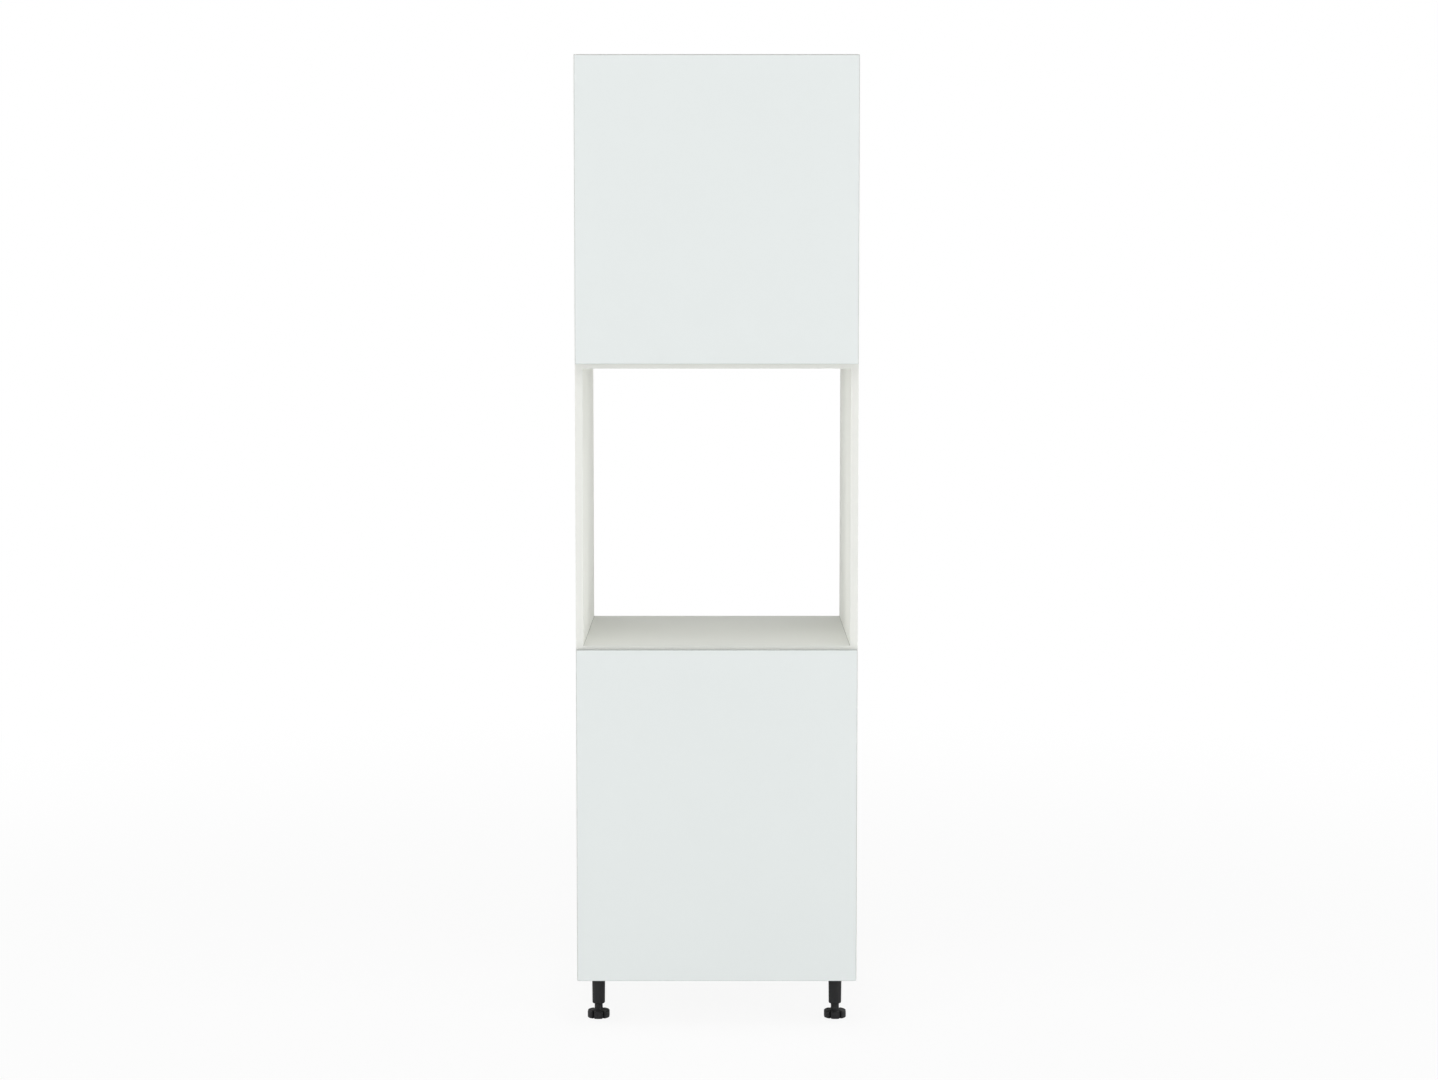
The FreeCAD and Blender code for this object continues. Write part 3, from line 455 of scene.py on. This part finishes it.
# In edit mode, raise the selected outline through rings of (radius, height).
def raiseThrough(rings):
    radius, height = rings[0]
    for nextRadius, nextHeight in rings[1:]:
        rise = (nextHeight - height) * mm
        bpy.ops.mesh.extrude_region_move(TRANSFORM_OT_translate={"value": (0, 0, rise)})
        share = nextRadius / radius
        bpy.ops.transform.resize(value=(share, share, 1), center_override=(0, 0, nextHeight * mm))
        radius, height = nextRadius, nextHeight


# A turned shape through rings of (radius, height) along Z, closed at both ends.
def turned(name, rings, sides=48):
    deselectAll()
    radius, height = rings[0]
    bpy.ops.mesh.primitive_circle_add(vertices=sides, radius=radius * mm, fill_type="NGON",
                                      location=(0, 0, height * mm))
    piece = bpy.context.object
    bpy.ops.object.mode_set(mode="EDIT")
    raiseThrough([(ring, level - height) for ring, level in rings])
    bpy.ops.object.mode_set(mode="OBJECT")
    return settle(piece, name)


def slab(name, low, high):
    deselectAll()
    middle = [(a + b) / 2 * mm for a, b in zip(low, high)]
    size = [(b - a) * mm for a, b in zip(low, high)]
    bpy.ops.mesh.primitive_cube_add(size=1, location=middle, scale=size)
    return settle(bpy.context.object, name)


def applyModifier(piece, kind, **settings):
    modifier = piece.modifiers.new(kind.lower(), kind)
    for name, value in settings.items():
        setattr(modifier, name, value)
    work(piece)
    bpy.ops.object.modifier_apply(modifier=modifier.name)


def combine(piece, other, operation):
    applyModifier(piece, "BOOLEAN", operation=operation, object=other, solver="EXACT")
    bpy.data.objects.remove(other)


# Round the sharp edges a little and shade the rest smooth.
def soften(piece, width, segments=2, angle=40):
    if width:
        applyModifier(piece, "BEVEL", width=width * mm, segments=segments, limit_method="ANGLE",
                      angle_limit=math.radians(angle))
    work(piece)
    bpy.ops.object.shade_smooth_by_angle(angle=math.radians(angle))
    return piece


# A copy with its own mesh: its foot at a place, its height along a direction.
def placed(source, name, at, direction=(0, 0, 1), turn=0):
    mesh = source.data.copy()
    lean = Vector((0, 0, 1)).rotation_difference(Vector(direction)).to_matrix().to_4x4()
    spin = Matrix.Rotation(math.radians(turn), 4, "Z")
    mesh.transform(Matrix.Translation(Vector(at) * mm) @ lean @ spin)
    piece = bpy.data.objects.new(name, mesh)
    bpy.context.scene.collection.objects.link(piece)
    return piece


def joined(name, pieces):
    deselectAll()
    for piece in pieces:
        piece.select_set(True)
    bpy.context.view_layer.objects.active = pieces[0]
    bpy.ops.object.join()
    pieces[0].name = pieces[0].data.name = name
    return pieces[0]


def mount(piece, material, body, slot, *replaced):
    coat(piece, material)
    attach(piece, body)
    if replaced:
        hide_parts(*replaced)


def middleOf(node):
    low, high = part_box(node)
    return (low + high) / 2 / mm


crossShape = {"width": 0.26, "length": 1.3}  # shares of the head's radius


# Cut a cross slot into the top of a small head.
def crossRecess(piece, top, radius, depth):
    width, length = crossShape["width"], crossShape["length"]
    for wide, long in ((width, length), (length, width)):
        half = (radius * wide / 2, radius * long / 2)
        cutter = slab("cutter", (-half[0], -half[1], top - depth), (half[0], half[1], top + overlap))
        combine(piece, cutter, "DIFFERENCE")


# Screw heads

screwShapes = {
    "plate": {"radius": 3.6, "head": 1.6},
    "cup": {"radius": 3.2, "head": 1.3},
    "arm": {"radius": 3.0, "head": 1.4},
    "board": {"radius": 3.4, "head": 1.6},
    "latch": {"radius": 2.2, "head": 0.9},
}
screwOutline = {
    "neckShare": 0.5,
    "sunk": 0.1,
    "rounding": [(1, 0.4), (0.94, 0.72), (0.76, 0.93), (0.55, 1)],  # shares of the radius and the head
    "slotShare": 0.7,
    "turnStep": 7,  # turns the slots different ways
}


def makeScrewHead(kind):
    radius, head = screwShapes[kind]["radius"], screwShapes[kind]["head"]
    neck, sunk = radius * screwOutline["neckShare"], screwOutline["sunk"]
    rings = [(neck, -overlap), (neck, -sunk), (radius, -sunk)]
    rings += [(radius * wide, head * high) for wide, high in screwOutline["rounding"]]
    piece = turned(f"{kind}_screw", rings, sides=28)
    crossRecess(piece, head, radius, head * screwOutline["slotShare"])
    return soften(piece, 0, angle=35)


screws = {kind: makeScrewHead(kind) for kind in screwShapes}


def setScrew(kind, name, at, direction, body, slot):
    piece = placed(screws[kind], name, at, direction, turn=sum(at) * screwOutline["turnStep"] % 90)
    mount(piece, zincPlate, body, slot)


hingePlaces = {
    "plateScrewHalf": 16,
    "plateScrewY": -232.75,
    "plateFace": -282.5,
    "cupScrewHalf": 22.5,
    "cupScrewX": -267.5,
    "cupFace": -271.05,
    "armFace": -273.3,
    "armScrewYs": (-232.25, -216.25),
}

for door in doors:
    for end in hingeEnds:
        height = middleOf(f"{door}_{end}_hinge_plate").z
        for number, side in enumerate((-1, 1), start=1):
            setScrew("plate", f"{door}_{end}_plate_screw_{number}",
                     (hingePlaces["plateFace"], hingePlaces["plateScrewY"],
                      height + side * hingePlaces["plateScrewHalf"]),
                     (1, 0, 0), "carcass", "plated_steel")
            setScrew("cup", f"{door}_{end}_cup_screw_{number}",
                     (hingePlaces["cupScrewX"], hingePlaces["cupFace"],
                      height + side * hingePlaces["cupScrewHalf"]),
                     (0, 1, 0), f"{door}_door", "plated_steel")
            setScrew("arm", f"{door}_{end}_arm_screw_{number}",
                     (hingePlaces["armFace"], hingePlaces["armScrewYs"][number - 1], height),
                     (1, 0, 0), "carcass", "plated_steel")
print("hinge screws placed")


# Feet: six lobes round a sloping centre, a flared neck and a threaded stem

footShape = {
    "lobes": [(22.0, 0), (23.4, 0.5), (24.2, 1.9), (24.2, 13.4), (23.7, 14.9), (22.6, 15.8), (21.0, 16.3)],
    "radius": 24.2,
    "grooveDepth": 7,
    "grooveStep": 3,  # degrees between the points of the outline
    "lobeRound": 2.2,
    "core": 16.7,
    "coreLow": 12,
    "shoulder": [(0, -0.7), (-1.4, -0.2)],  # added to the core's radius and the top
    "neck": 8.8,
    "flare": [(1.6, 0), (0.5, 0.15), (0, 1.2)],  # added to the neck's radius and the top
    "top": 16.8,
    "stemTop": 76,
    "stemTip": 0.8,
    "threadStart": 33,
    "threadPitch": 2.5,
    "threadDepth": 0.7,
    "threadTurns": (0.3, 0.5, 0.8),  # where the hollow starts and ends and the crest starts
}


def makeFoot():
    shape = footShape
    radius, step = shape["radius"], shape["grooveStep"]
    deselectAll()
    bpy.ops.mesh.primitive_circle_add(vertices=round(360 / step), radius=radius * mm, fill_type="NGON")
    lobes = bpy.context.object
    bpy.ops.object.mode_set(mode="EDIT")

    # Degrees to the nearest of the six grooves.
    def fromGroove(vert):
        angle = math.degrees(math.atan2(vert.co.y, vert.co.x)) % 60
        return min(angle, 60 - angle)

    # Points up to one step from a groove sink, those three steps away go, and those two steps away
    # become the rounded corners of the lobes.
    near = 0.1
    pick("VERT", lambda vert: fromGroove(vert) < step + near)
    share = 1 - shape["grooveDepth"] / radius
    bpy.ops.transform.resize(value=(share, share, 1), center_override=(0, 0, 0))
    pick("VERT", lambda vert: abs(fromGroove(vert) - 3 * step) < near)
    bpy.ops.mesh.dissolve_verts()
    pick("VERT", lambda vert: abs(fromGroove(vert) - 2 * step) < near)
    bpy.ops.mesh.bevel(offset=shape["lobeRound"] * mm, segments=4, affect="VERTICES", clamp_overlap=True)
    bpy.ops.mesh.select_all(action="SELECT")
    share = shape["lobes"][0][0] / radius
    bpy.ops.transform.resize(value=(share, share, 1), center_override=(0, 0, 0))
    raiseThrough(shape["lobes"])
    bpy.ops.object.mode_set(mode="OBJECT")
    settle(lobes, "foot")
    core, neck, top = shape["core"], shape["neck"], shape["top"]
    rings = [(core, shape["coreLow"])]
    rings += [(core + wider, top + higher) for wider, higher in shape["shoulder"]]
    rings += [(neck + wider, top + higher) for wider, higher in shape["flare"]]
    rings += [(neck, shape["threadStart"])]
    height, pitch = shape["threadStart"], shape["threadPitch"]
    hollow = neck - shape["threadDepth"]
    hollowStart, hollowEnd, crest = shape["threadTurns"]
    while height + pitch < shape["stemTop"] - 1:
        rings += [(hollow, height + hollowStart * pitch), (hollow, height + hollowEnd * pitch),
                  (neck, height + crest * pitch), (neck, height + pitch)]
        height += pitch
    rings += [(neck - shape["stemTip"], shape["stemTop"])]
    combine(lobes, turned("neck", rings), "UNION")
    return soften(lobes, 0, angle=50)


foot = makeFoot()
for name in legPlaces:
    middle = middleOf(f"{name}_foot")
    piece = placed(foot, f"{name}_lobed_foot", (middle.x, middle.y, 0))
    mount(piece, blackPlastic, f"{name}_foot", "black_plastic", f"{name}_foot")
bpy.data.objects.remove(foot)
print("feet modelled")


# Legs and the sockets that hold them under the bottom board

legShape = {
    "boreRadius": 9.1,
    "boreTop": 90.3,
    "bottom": 31,
    "boreEdge": 0.8,
    "footRadius": 13.7,
    "rim": [(-1.8, 0), (-1.1, 0.3), (-0.3, 1.2), (0, 2.6)],  # added to the foot's radius and the bottom
    "topRadius": 14.3,
    "top": 96,
}
socketShape = {
    "half": 28,
    "low": 96,
    "high": 100,
    "cornerRound": 6,
    "collarRadius": 17.6,
    "collarLow": 83.5,
    "collarEdge": 0.6,
    "boreRadius": 14.6,
    "ribHalf": 0.9,
    "ribReach": 26.5,
    "ribDrop": 9,
    "ribTip": 0.8,
    "edgeRound": 0.4,
    "screwSpread": 21.5,
}


def makeLeg():
    shape = legShape
    low, bore, edge = shape["bottom"], shape["boreRadius"], shape["boreEdge"]
    rings = [(bore, shape["boreTop"]), (bore, low + edge), (bore + edge, low)]
    rings += [(shape["footRadius"] + wider, low + higher) for wider, higher in shape["rim"]]
    rings += [(shape["topRadius"], shape["top"])]
    return soften(turned("leg", rings, sides=64), 0, angle=50)


def makeSocket():
    shape = socketShape
    half, low, high = shape["half"], shape["low"], shape["high"]
    plate = slab("socket", (-half, -half, low), (half, half, high))
    work(plate)
    bpy.ops.object.mode_set(mode="EDIT")
    pick("EDGE", lambda edge: abs(edge.verts[0].co.z - edge.verts[1].co.z) > mm)
    bpy.ops.mesh.bevel(offset=shape["cornerRound"] * mm, segments=5, affect="EDGES")
    bpy.ops.object.mode_set(mode="OBJECT")
    for side in range(4):
        rib = slab("rib", (shape["collarRadius"] - overlap, -shape["ribHalf"], low - shape["ribDrop"]),
                   (shape["ribReach"], shape["ribHalf"], low + overlap))
        work(rib)
        bpy.ops.object.mode_set(mode="EDIT")
        pick("VERT", lambda vert: vert.co.z < low * mm and vert.co.x > shape["collarRadius"] * mm)
        bpy.ops.transform.translate(value=(0, 0, (shape["ribDrop"] - shape["ribTip"]) * mm))
        bpy.ops.object.mode_set(mode="OBJECT")
        combine(plate, placed(rib, "turnedRib", (0, 0, 0), turn=90 * side), "UNION")
        bpy.data.objects.remove(rib)
    collar, collarLow, edge = shape["collarRadius"], shape["collarLow"], shape["collarEdge"]
    rings = [(collar, low + 2 * overlap), (collar, collarLow + edge), (collar - edge, collarLow)]
    combine(plate, turned("collar", rings, sides=64), "UNION")
    bore = [(shape["boreRadius"], collarLow - 2 * overlap), (shape["boreRadius"], low)]
    combine(plate, turned("bore", bore, sides=64), "DIFFERENCE")
    return soften(plate, shape["edgeRound"], angle=45)


leg = makeLeg()
socket = makeSocket()
legCopies, socketCopies = [], []
for name in legPlaces:
    middle = middleOf(f"{name}_foot")
    legCopies.append(placed(leg, f"{name}_tube", (middle.x, middle.y, 0)))
    socketCopies.append(placed(socket, f"{name}_socket", (middle.x, middle.y, 0)))
    number = 0
    for across in (-1, 1):
        for along in (-1, 1):
            number += 1
            spread = socketShape["screwSpread"]
            setScrew("board", f"{name}_socket_screw_{number}",
                     (middle.x + across * spread, middle.y + along * spread, socketShape["low"]),
                     (0, 0, -1), "carcass", "black_plastic")
mount(joined("leg_tubes", legCopies), blackPlastic, "carcass", "black_plastic", "legs")
mount(joined("leg_socket_plates", socketCopies), blackPlastic, "carcass", "black_plastic", "leg_sockets")
bpy.data.objects.remove(leg)
bpy.data.objects.remove(socket)
print("legs and sockets modelled")


# Cams with their bolts, and shelf pins

camShape = {
    "radius": 7.1,
    "depth": 12.2,
    "rim": 0.5,
    "sunk": 0.05,
    "slotShare": 0.8,
    "slotDepth": 2.4,
    "turn": 20,
    "across": 260,  # from the middle of the unit
    "undersides": (100, 806),  # the two levels where cams sit in a board's underside
}
boltShape = {"radius": 2.7, "tipRadius": 1.9, "tipLength": 1.2, "length": 34.5, "across": 295, "under": 8}
pinShape = {
    "stem": 2.4,
    "length": 18,
    "tipInset": 0.7,
    "tipLength": 0.8,
    "endRound": 0.5,
    "collar": 4,
    "collarAt": 10,
    "collarLength": 1.5,
    "collarEdge": 0.3,
}


# The box of each separate solid of a CAD node, in millimetres.
def islands(node):
    mesh = bmesh.new()
    mesh.from_mesh(nodes[node].data)
    bmesh.ops.remove_doubles(mesh, verts=mesh.verts, dist=0.000001)
    left, boxes = set(mesh.verts), []
    while left:
        seeds, island = [left.pop()], []
        while seeds:
            vert = seeds.pop()
            island.append(vert.co)
            near = {edge.other_vert(vert) for edge in vert.link_edges} & left
            left -= near
            seeds += near
        low = [min(place[axis] for place in island) / mm for axis in range(3)]
        high = [max(place[axis] for place in island) / mm for axis in range(3)]
        boxes.append((Vector(low), Vector(high)))
    mesh.free()
    return sorted(boxes, key=lambda box: tuple(box[0]))


def makeCam():
    radius, depth, rim, sunk = (camShape[key] for key in ("radius", "depth", "rim", "sunk"))
    cam = turned("cam", [(radius, -depth), (radius, -rim), (radius - rim, -sunk)], sides=40)
    crossRecess(cam, -sunk, radius * camShape["slotShare"], camShape["slotDepth"])
    return soften(cam, 0, angle=40)


def makeBolt():
    radius, tip = boltShape["radius"], boltShape["tipLength"]
    rings = [(boltShape["tipRadius"], 0), (radius, tip), (radius, boltShape["length"])]
    return turned("bolt", rings, sides=20)


def makePin():
    stem, collar, edge = pinShape["stem"], pinShape["collar"], pinShape["collarEdge"]
    low, length, endRound = pinShape["collarAt"], pinShape["length"], pinShape["endRound"]
    high = low + pinShape["collarLength"]
    rings = [
        (stem - pinShape["tipInset"], 0), (stem, pinShape["tipLength"]), (stem, low),
        (collar - edge, low), (collar, low + edge), (collar, high - edge), (collar - edge, high),
        (stem, high), (stem, length - endRound), (stem - endRound, length),
    ]
    return soften(turned("pin", rings, sides=32), 0)


cam = makeCam()
bolt = makeBolt()
pin = makePin()
camPieces = []
for low, high in islands("cam_fittings"):
    side = -1 if low.x < 0 else 1
    middle = (low + high) / 2
    underside = round(low.z) in camShape["undersides"]
    face, outward = (round(low.z), -1) if underside else (round(high.z), 1)
    camPieces.append(placed(cam, "camCopy", (side * camShape["across"], middle.y, face), (0, 0, outward),
                            turn=camShape["turn"]))
    height = face - outward * boltShape["under"]
    camPieces.append(placed(bolt, "boltCopy", (side * boltShape["across"], middle.y, height), (-side, 0, 0)))
mount(joined("cams_and_bolts", camPieces), castZinc, "carcass", "zinc", "cam_fittings")

pinPieces = []
for low, high in islands("shelf_pins"):
    side = -1 if low.x < 0 else 1
    buried = low.x if side < 0 else high.x
    middle = (low + high) / 2
    pinPieces.append(placed(pin, "pinCopy", (buried, middle.y, middle.z), (-side, 0, 0)))
mount(joined("round_shelf_pins", pinPieces), zincPlate, "carcass", "plated_steel", "shelf_pins")
for piece in (cam, bolt, pin):
    bpy.data.objects.remove(piece)
print("cams and shelf pins modelled")


# Push-to-open latches and the screws of the brackets and strike plates

latchShape = {
    "boreRadius": 4.95,
    "boreDepth": 50,
    "edgeRound": 1.2,
    "mouthRadius": 6.2,
    "mouthDepth": 1,
    "mouthSlope": 0.6,
    "grips": {"count": 5, "start": 18, "step": 6.5, "length": 3, "half": 4, "depth": 0.8},
    "wellRadius": 2.6,
    "wellDepth": 1.3,
    "screwAside": 7,
    "screwInset": 10,
}
plungerShape = {
    "radius": 4.5,
    "edge": 1,
    "tipLength": 6,
    "gap": 0.6,
    "padLow": [(-0.8, -0.05), (-0.05, 0.5)],  # added to the radius and the pad's start
    "padHigh": [(-0.05, -1.6), (-0.5, -0.7), (-1.4, -0.15), (-2.4, 0)],  # added to the radius and the end
}
fixingScrews = {"strikeHalf": 7.4, "bracketHalf": 11, "bracketInset": 16, "bracketThickness": 2}


def makeLatch(door):
    shape, grips = latchShape, latchShape["grips"]
    low, high = (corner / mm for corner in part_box(f"{door}_latch_housing"))
    middle = (low + high) / 2
    free, outward = (low.z, -1) if door == "lower" else (high.z, 1)
    body = soften(slab(f"{door}_latch_body", low, high), shape["edgeRound"], segments=3, angle=60)
    for number in range(grips["count"]):
        y = low.y + grips["start"] + number * grips["step"]
        for x in (low.x, high.x):
            cutter = slab("grip", (x - grips["depth"], y, middle.z - grips["half"]),
                          (x + grips["depth"], y + grips["length"], middle.z + grips["half"]))
            combine(body, cutter, "DIFFERENCE")
    bore = turned("bore", [
        (shape["mouthRadius"], -overlap), (shape["mouthRadius"], shape["mouthDepth"] - shape["mouthSlope"]),
        (shape["boreRadius"], shape["mouthDepth"]), (shape["boreRadius"], shape["boreDepth"]),
    ])
    combine(body, placed(bore, "boreCopy", (middle.x, low.y, middle.z), (0, 1, 0)), "DIFFERENCE")
    bpy.data.objects.remove(bore)
    wellRadius, wellDepth = shape["wellRadius"], shape["wellDepth"]
    well = turned("well", [(wellRadius, -wellDepth), (wellRadius, 2 * overlap)], sides=24)
    spots = ((middle.x - shape["screwAside"], low.y + shape["screwInset"]),
             (middle.x + shape["screwAside"], high.y - shape["screwInset"]))
    for number, (x, y) in enumerate(spots, start=1):
        combine(body, placed(well, "wellCopy", (x, y, free), (0, 0, outward)), "DIFFERENCE")
        setScrew("latch", f"{door}_latch_screw_{number}", (x, y, free - outward * wellDepth), (0, 0, outward),
                 "carcass", "plated_steel")
    bpy.data.objects.remove(well)
    soften(body, 0, angle=40)
    mount(body, greyPlastic, "carcass", "latch_plastic", f"{door}_latch_housing")


def makePlunger(door):
    low, high = (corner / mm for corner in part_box(f"{door}_latch_plunger"))
    shape = plungerShape
    middle, long, radius = (low + high) / 2, high.y - low.y, shape["radius"]
    padStart, edge, gap = long - shape["tipLength"], shape["edge"], shape["gap"]
    stem = turned("stem", [
        (radius - edge, 0), (radius, edge), (radius, padStart - gap), (radius - gap, padStart),
    ])
    rings = [(radius + wider, padStart + higher) for wider, higher in shape["padLow"]]
    rings += [(radius + wider, long + higher) for wider, higher in shape["padHigh"]]
    pad = turned("pad", rings)
    for piece, name, material in ((stem, "stem", greyPlastic), (pad, "pad", rubber)):
        soften(piece, 0, angle=40)
        copy = placed(piece, f"{door}_plunger_{name}", (middle.x, high.y, middle.z), (0, -1, 0))
        bpy.data.objects.remove(piece)
        replaced = [f"{door}_latch_plunger"] if name == "stem" else []
        mount(copy, material, f"{door}_plunger", "latch_plastic", *replaced)


for door in doors:
    makeLatch(door)
    makePlunger(door)
    strikeLow, strikeHigh = (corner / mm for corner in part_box(f"{door}_strike_plate"))
    strike = (strikeLow + strikeHigh) / 2
    for number, side in enumerate((-1, 1), start=1):
        setScrew("latch", f"{door}_strike_screw_{number}",
                 (strike.x, strikeHigh.y, strike.z + side * fixingScrews["strikeHalf"]),
                 (0, 1, 0), f"{door}_door", "plated_steel")
for low, high in islands("wall_brackets"):
    for number, side in enumerate((-1, 1), start=1):
        hand = "left" if low.x < 0 else "right"
        setScrew("board", f"{hand}_bracket_screw_{number}",
                 ((low.x + high.x) / 2 + side * fixingScrews["bracketHalf"],
                  low.y + fixingScrews["bracketInset"], high.z - fixingScrews["bracketThickness"]),
                 (0, 0, -1), "carcass", "plated_steel")
for piece in screws.values():
    bpy.data.objects.remove(piece)
print("latches modelled")


# Light, background and floor

lighting = {
    "ambient": 0.46,
    "aim": (0, 0, 1.0),
    "sideLights": {"place": (3.6, -2.2, 0.45), "power": 64, "size": (1.8, 2.4)},
    "rearLights": {"place": (4.5, 5.0, 2.0), "power": 80, "size": (3.0, 3.0)},
    "lowLight": {"place": (0, -7.2, 0.6), "power": 54, "size": (4.0, 1.6)},
    "topLight": {"place": (0, -1.9, 4.9), "power": 57, "size": (5.0, 2.4)},
}


def addLight(name, place, power, size):
    data = bpy.data.lights.new(name, "AREA")
    data.shape = "RECTANGLE"
    data.size, data.size_y = size
    data.energy = power
    light = bpy.data.objects.new(name, data)
    light.location = place
    light.rotation_euler = (Vector(lighting["aim"]) - Vector(place)).to_track_quat("-Z", "Y").to_euler()
    bpy.context.scene.collection.objects.link(light)


for name in ("sideLights", "rearLights"):
    x, y, z = lighting[name]["place"]
    for hand, side in (("left", -1), ("right", 1)):
        addLight(f"{name}_{hand}", (side * x, y, z), lighting[name]["power"], lighting[name]["size"])
for name in ("lowLight", "topLight"):
    addLight(name, **lighting[name])


# 1 for what the camera sees, also in a reflection or through glass.
def seenDirectly(tree):
    rays = addNode(tree, "ShaderNodeLightPath").outputs
    glossy = compute(tree, "MAXIMUM", rays["Is Camera Ray"], rays["Is Glossy Ray"])
    return compute(tree, "MAXIMUM", glossy, rays["Is Transmission Ray"])


world = bpy.data.worlds.new("studio")
bpy.context.scene.world = world
world.use_nodes = True
tree = world.node_tree
tree.nodes.clear()
ambient = addNode(tree, "ShaderNodeBackground", {"Color": (1, 1, 1, 1), "Strength": lighting["ambient"]})
white = addNode(tree, "ShaderNodeBackground", {"Color": (1, 1, 1, 1), "Strength": 1.0})
blend = addNode(tree, "ShaderNodeMixShader",
                {0: seenDirectly(tree), 1: ambient.outputs[0], 2: white.outputs[0]})
tree.links.new(blend.outputs[0], addNode(tree, "ShaderNodeOutputWorld").inputs["Surface"])

floorShape = {
    "size": 60,
    "drop": 0.0004,  # keeps the feet clear of it
    "colour": (0.88, 0.88, 0.88, 1),
    "nearShare": 0.9,
    "nearReach": 1.2,
    "farReach": 4.5,
}
deselectAll()
bpy.ops.mesh.primitive_plane_add(size=floorShape["size"], location=(0, 0, -floorShape["drop"]))
floor = bpy.context.object
floor.name = "studioFloor"
floorMaterial = bpy.data.materials.new("studioFloor")
floorMaterial.use_nodes = True
tree = floorMaterial.node_tree
tree.nodes.clear()
matt = addNode(tree, "ShaderNodeBsdfDiffuse", {"Color": floorShape["colour"]})
glow = addNode(tree, "ShaderNodeEmission", {"Color": (1, 1, 1, 1), "Strength": 1.0})
distance = addNode(tree, "ShaderNodeVectorMath", {0: objectPlace(tree)}, operation="LENGTH").outputs["Value"]
whiteShare = addNode(tree, "ShaderNodeMapRange", {
    "Value": distance, "From Min": floorShape["nearReach"], "From Max": floorShape["farReach"],
    "To Min": floorShape["nearShare"], "To Max": 1.0,
}, interpolation_type="SMOOTHSTEP").outputs[0]
share = compute(tree, "MULTIPLY", seenDirectly(tree), whiteShare)
blend = addNode(tree, "ShaderNodeMixShader", {0: share, 1: matt.outputs[0], 2: glow.outputs[0]})
tree.links.new(blend.outputs[0], addNode(tree, "ShaderNodeOutputMaterial").inputs["Surface"])
coat(floor, floorMaterial)
print("light and floor set")
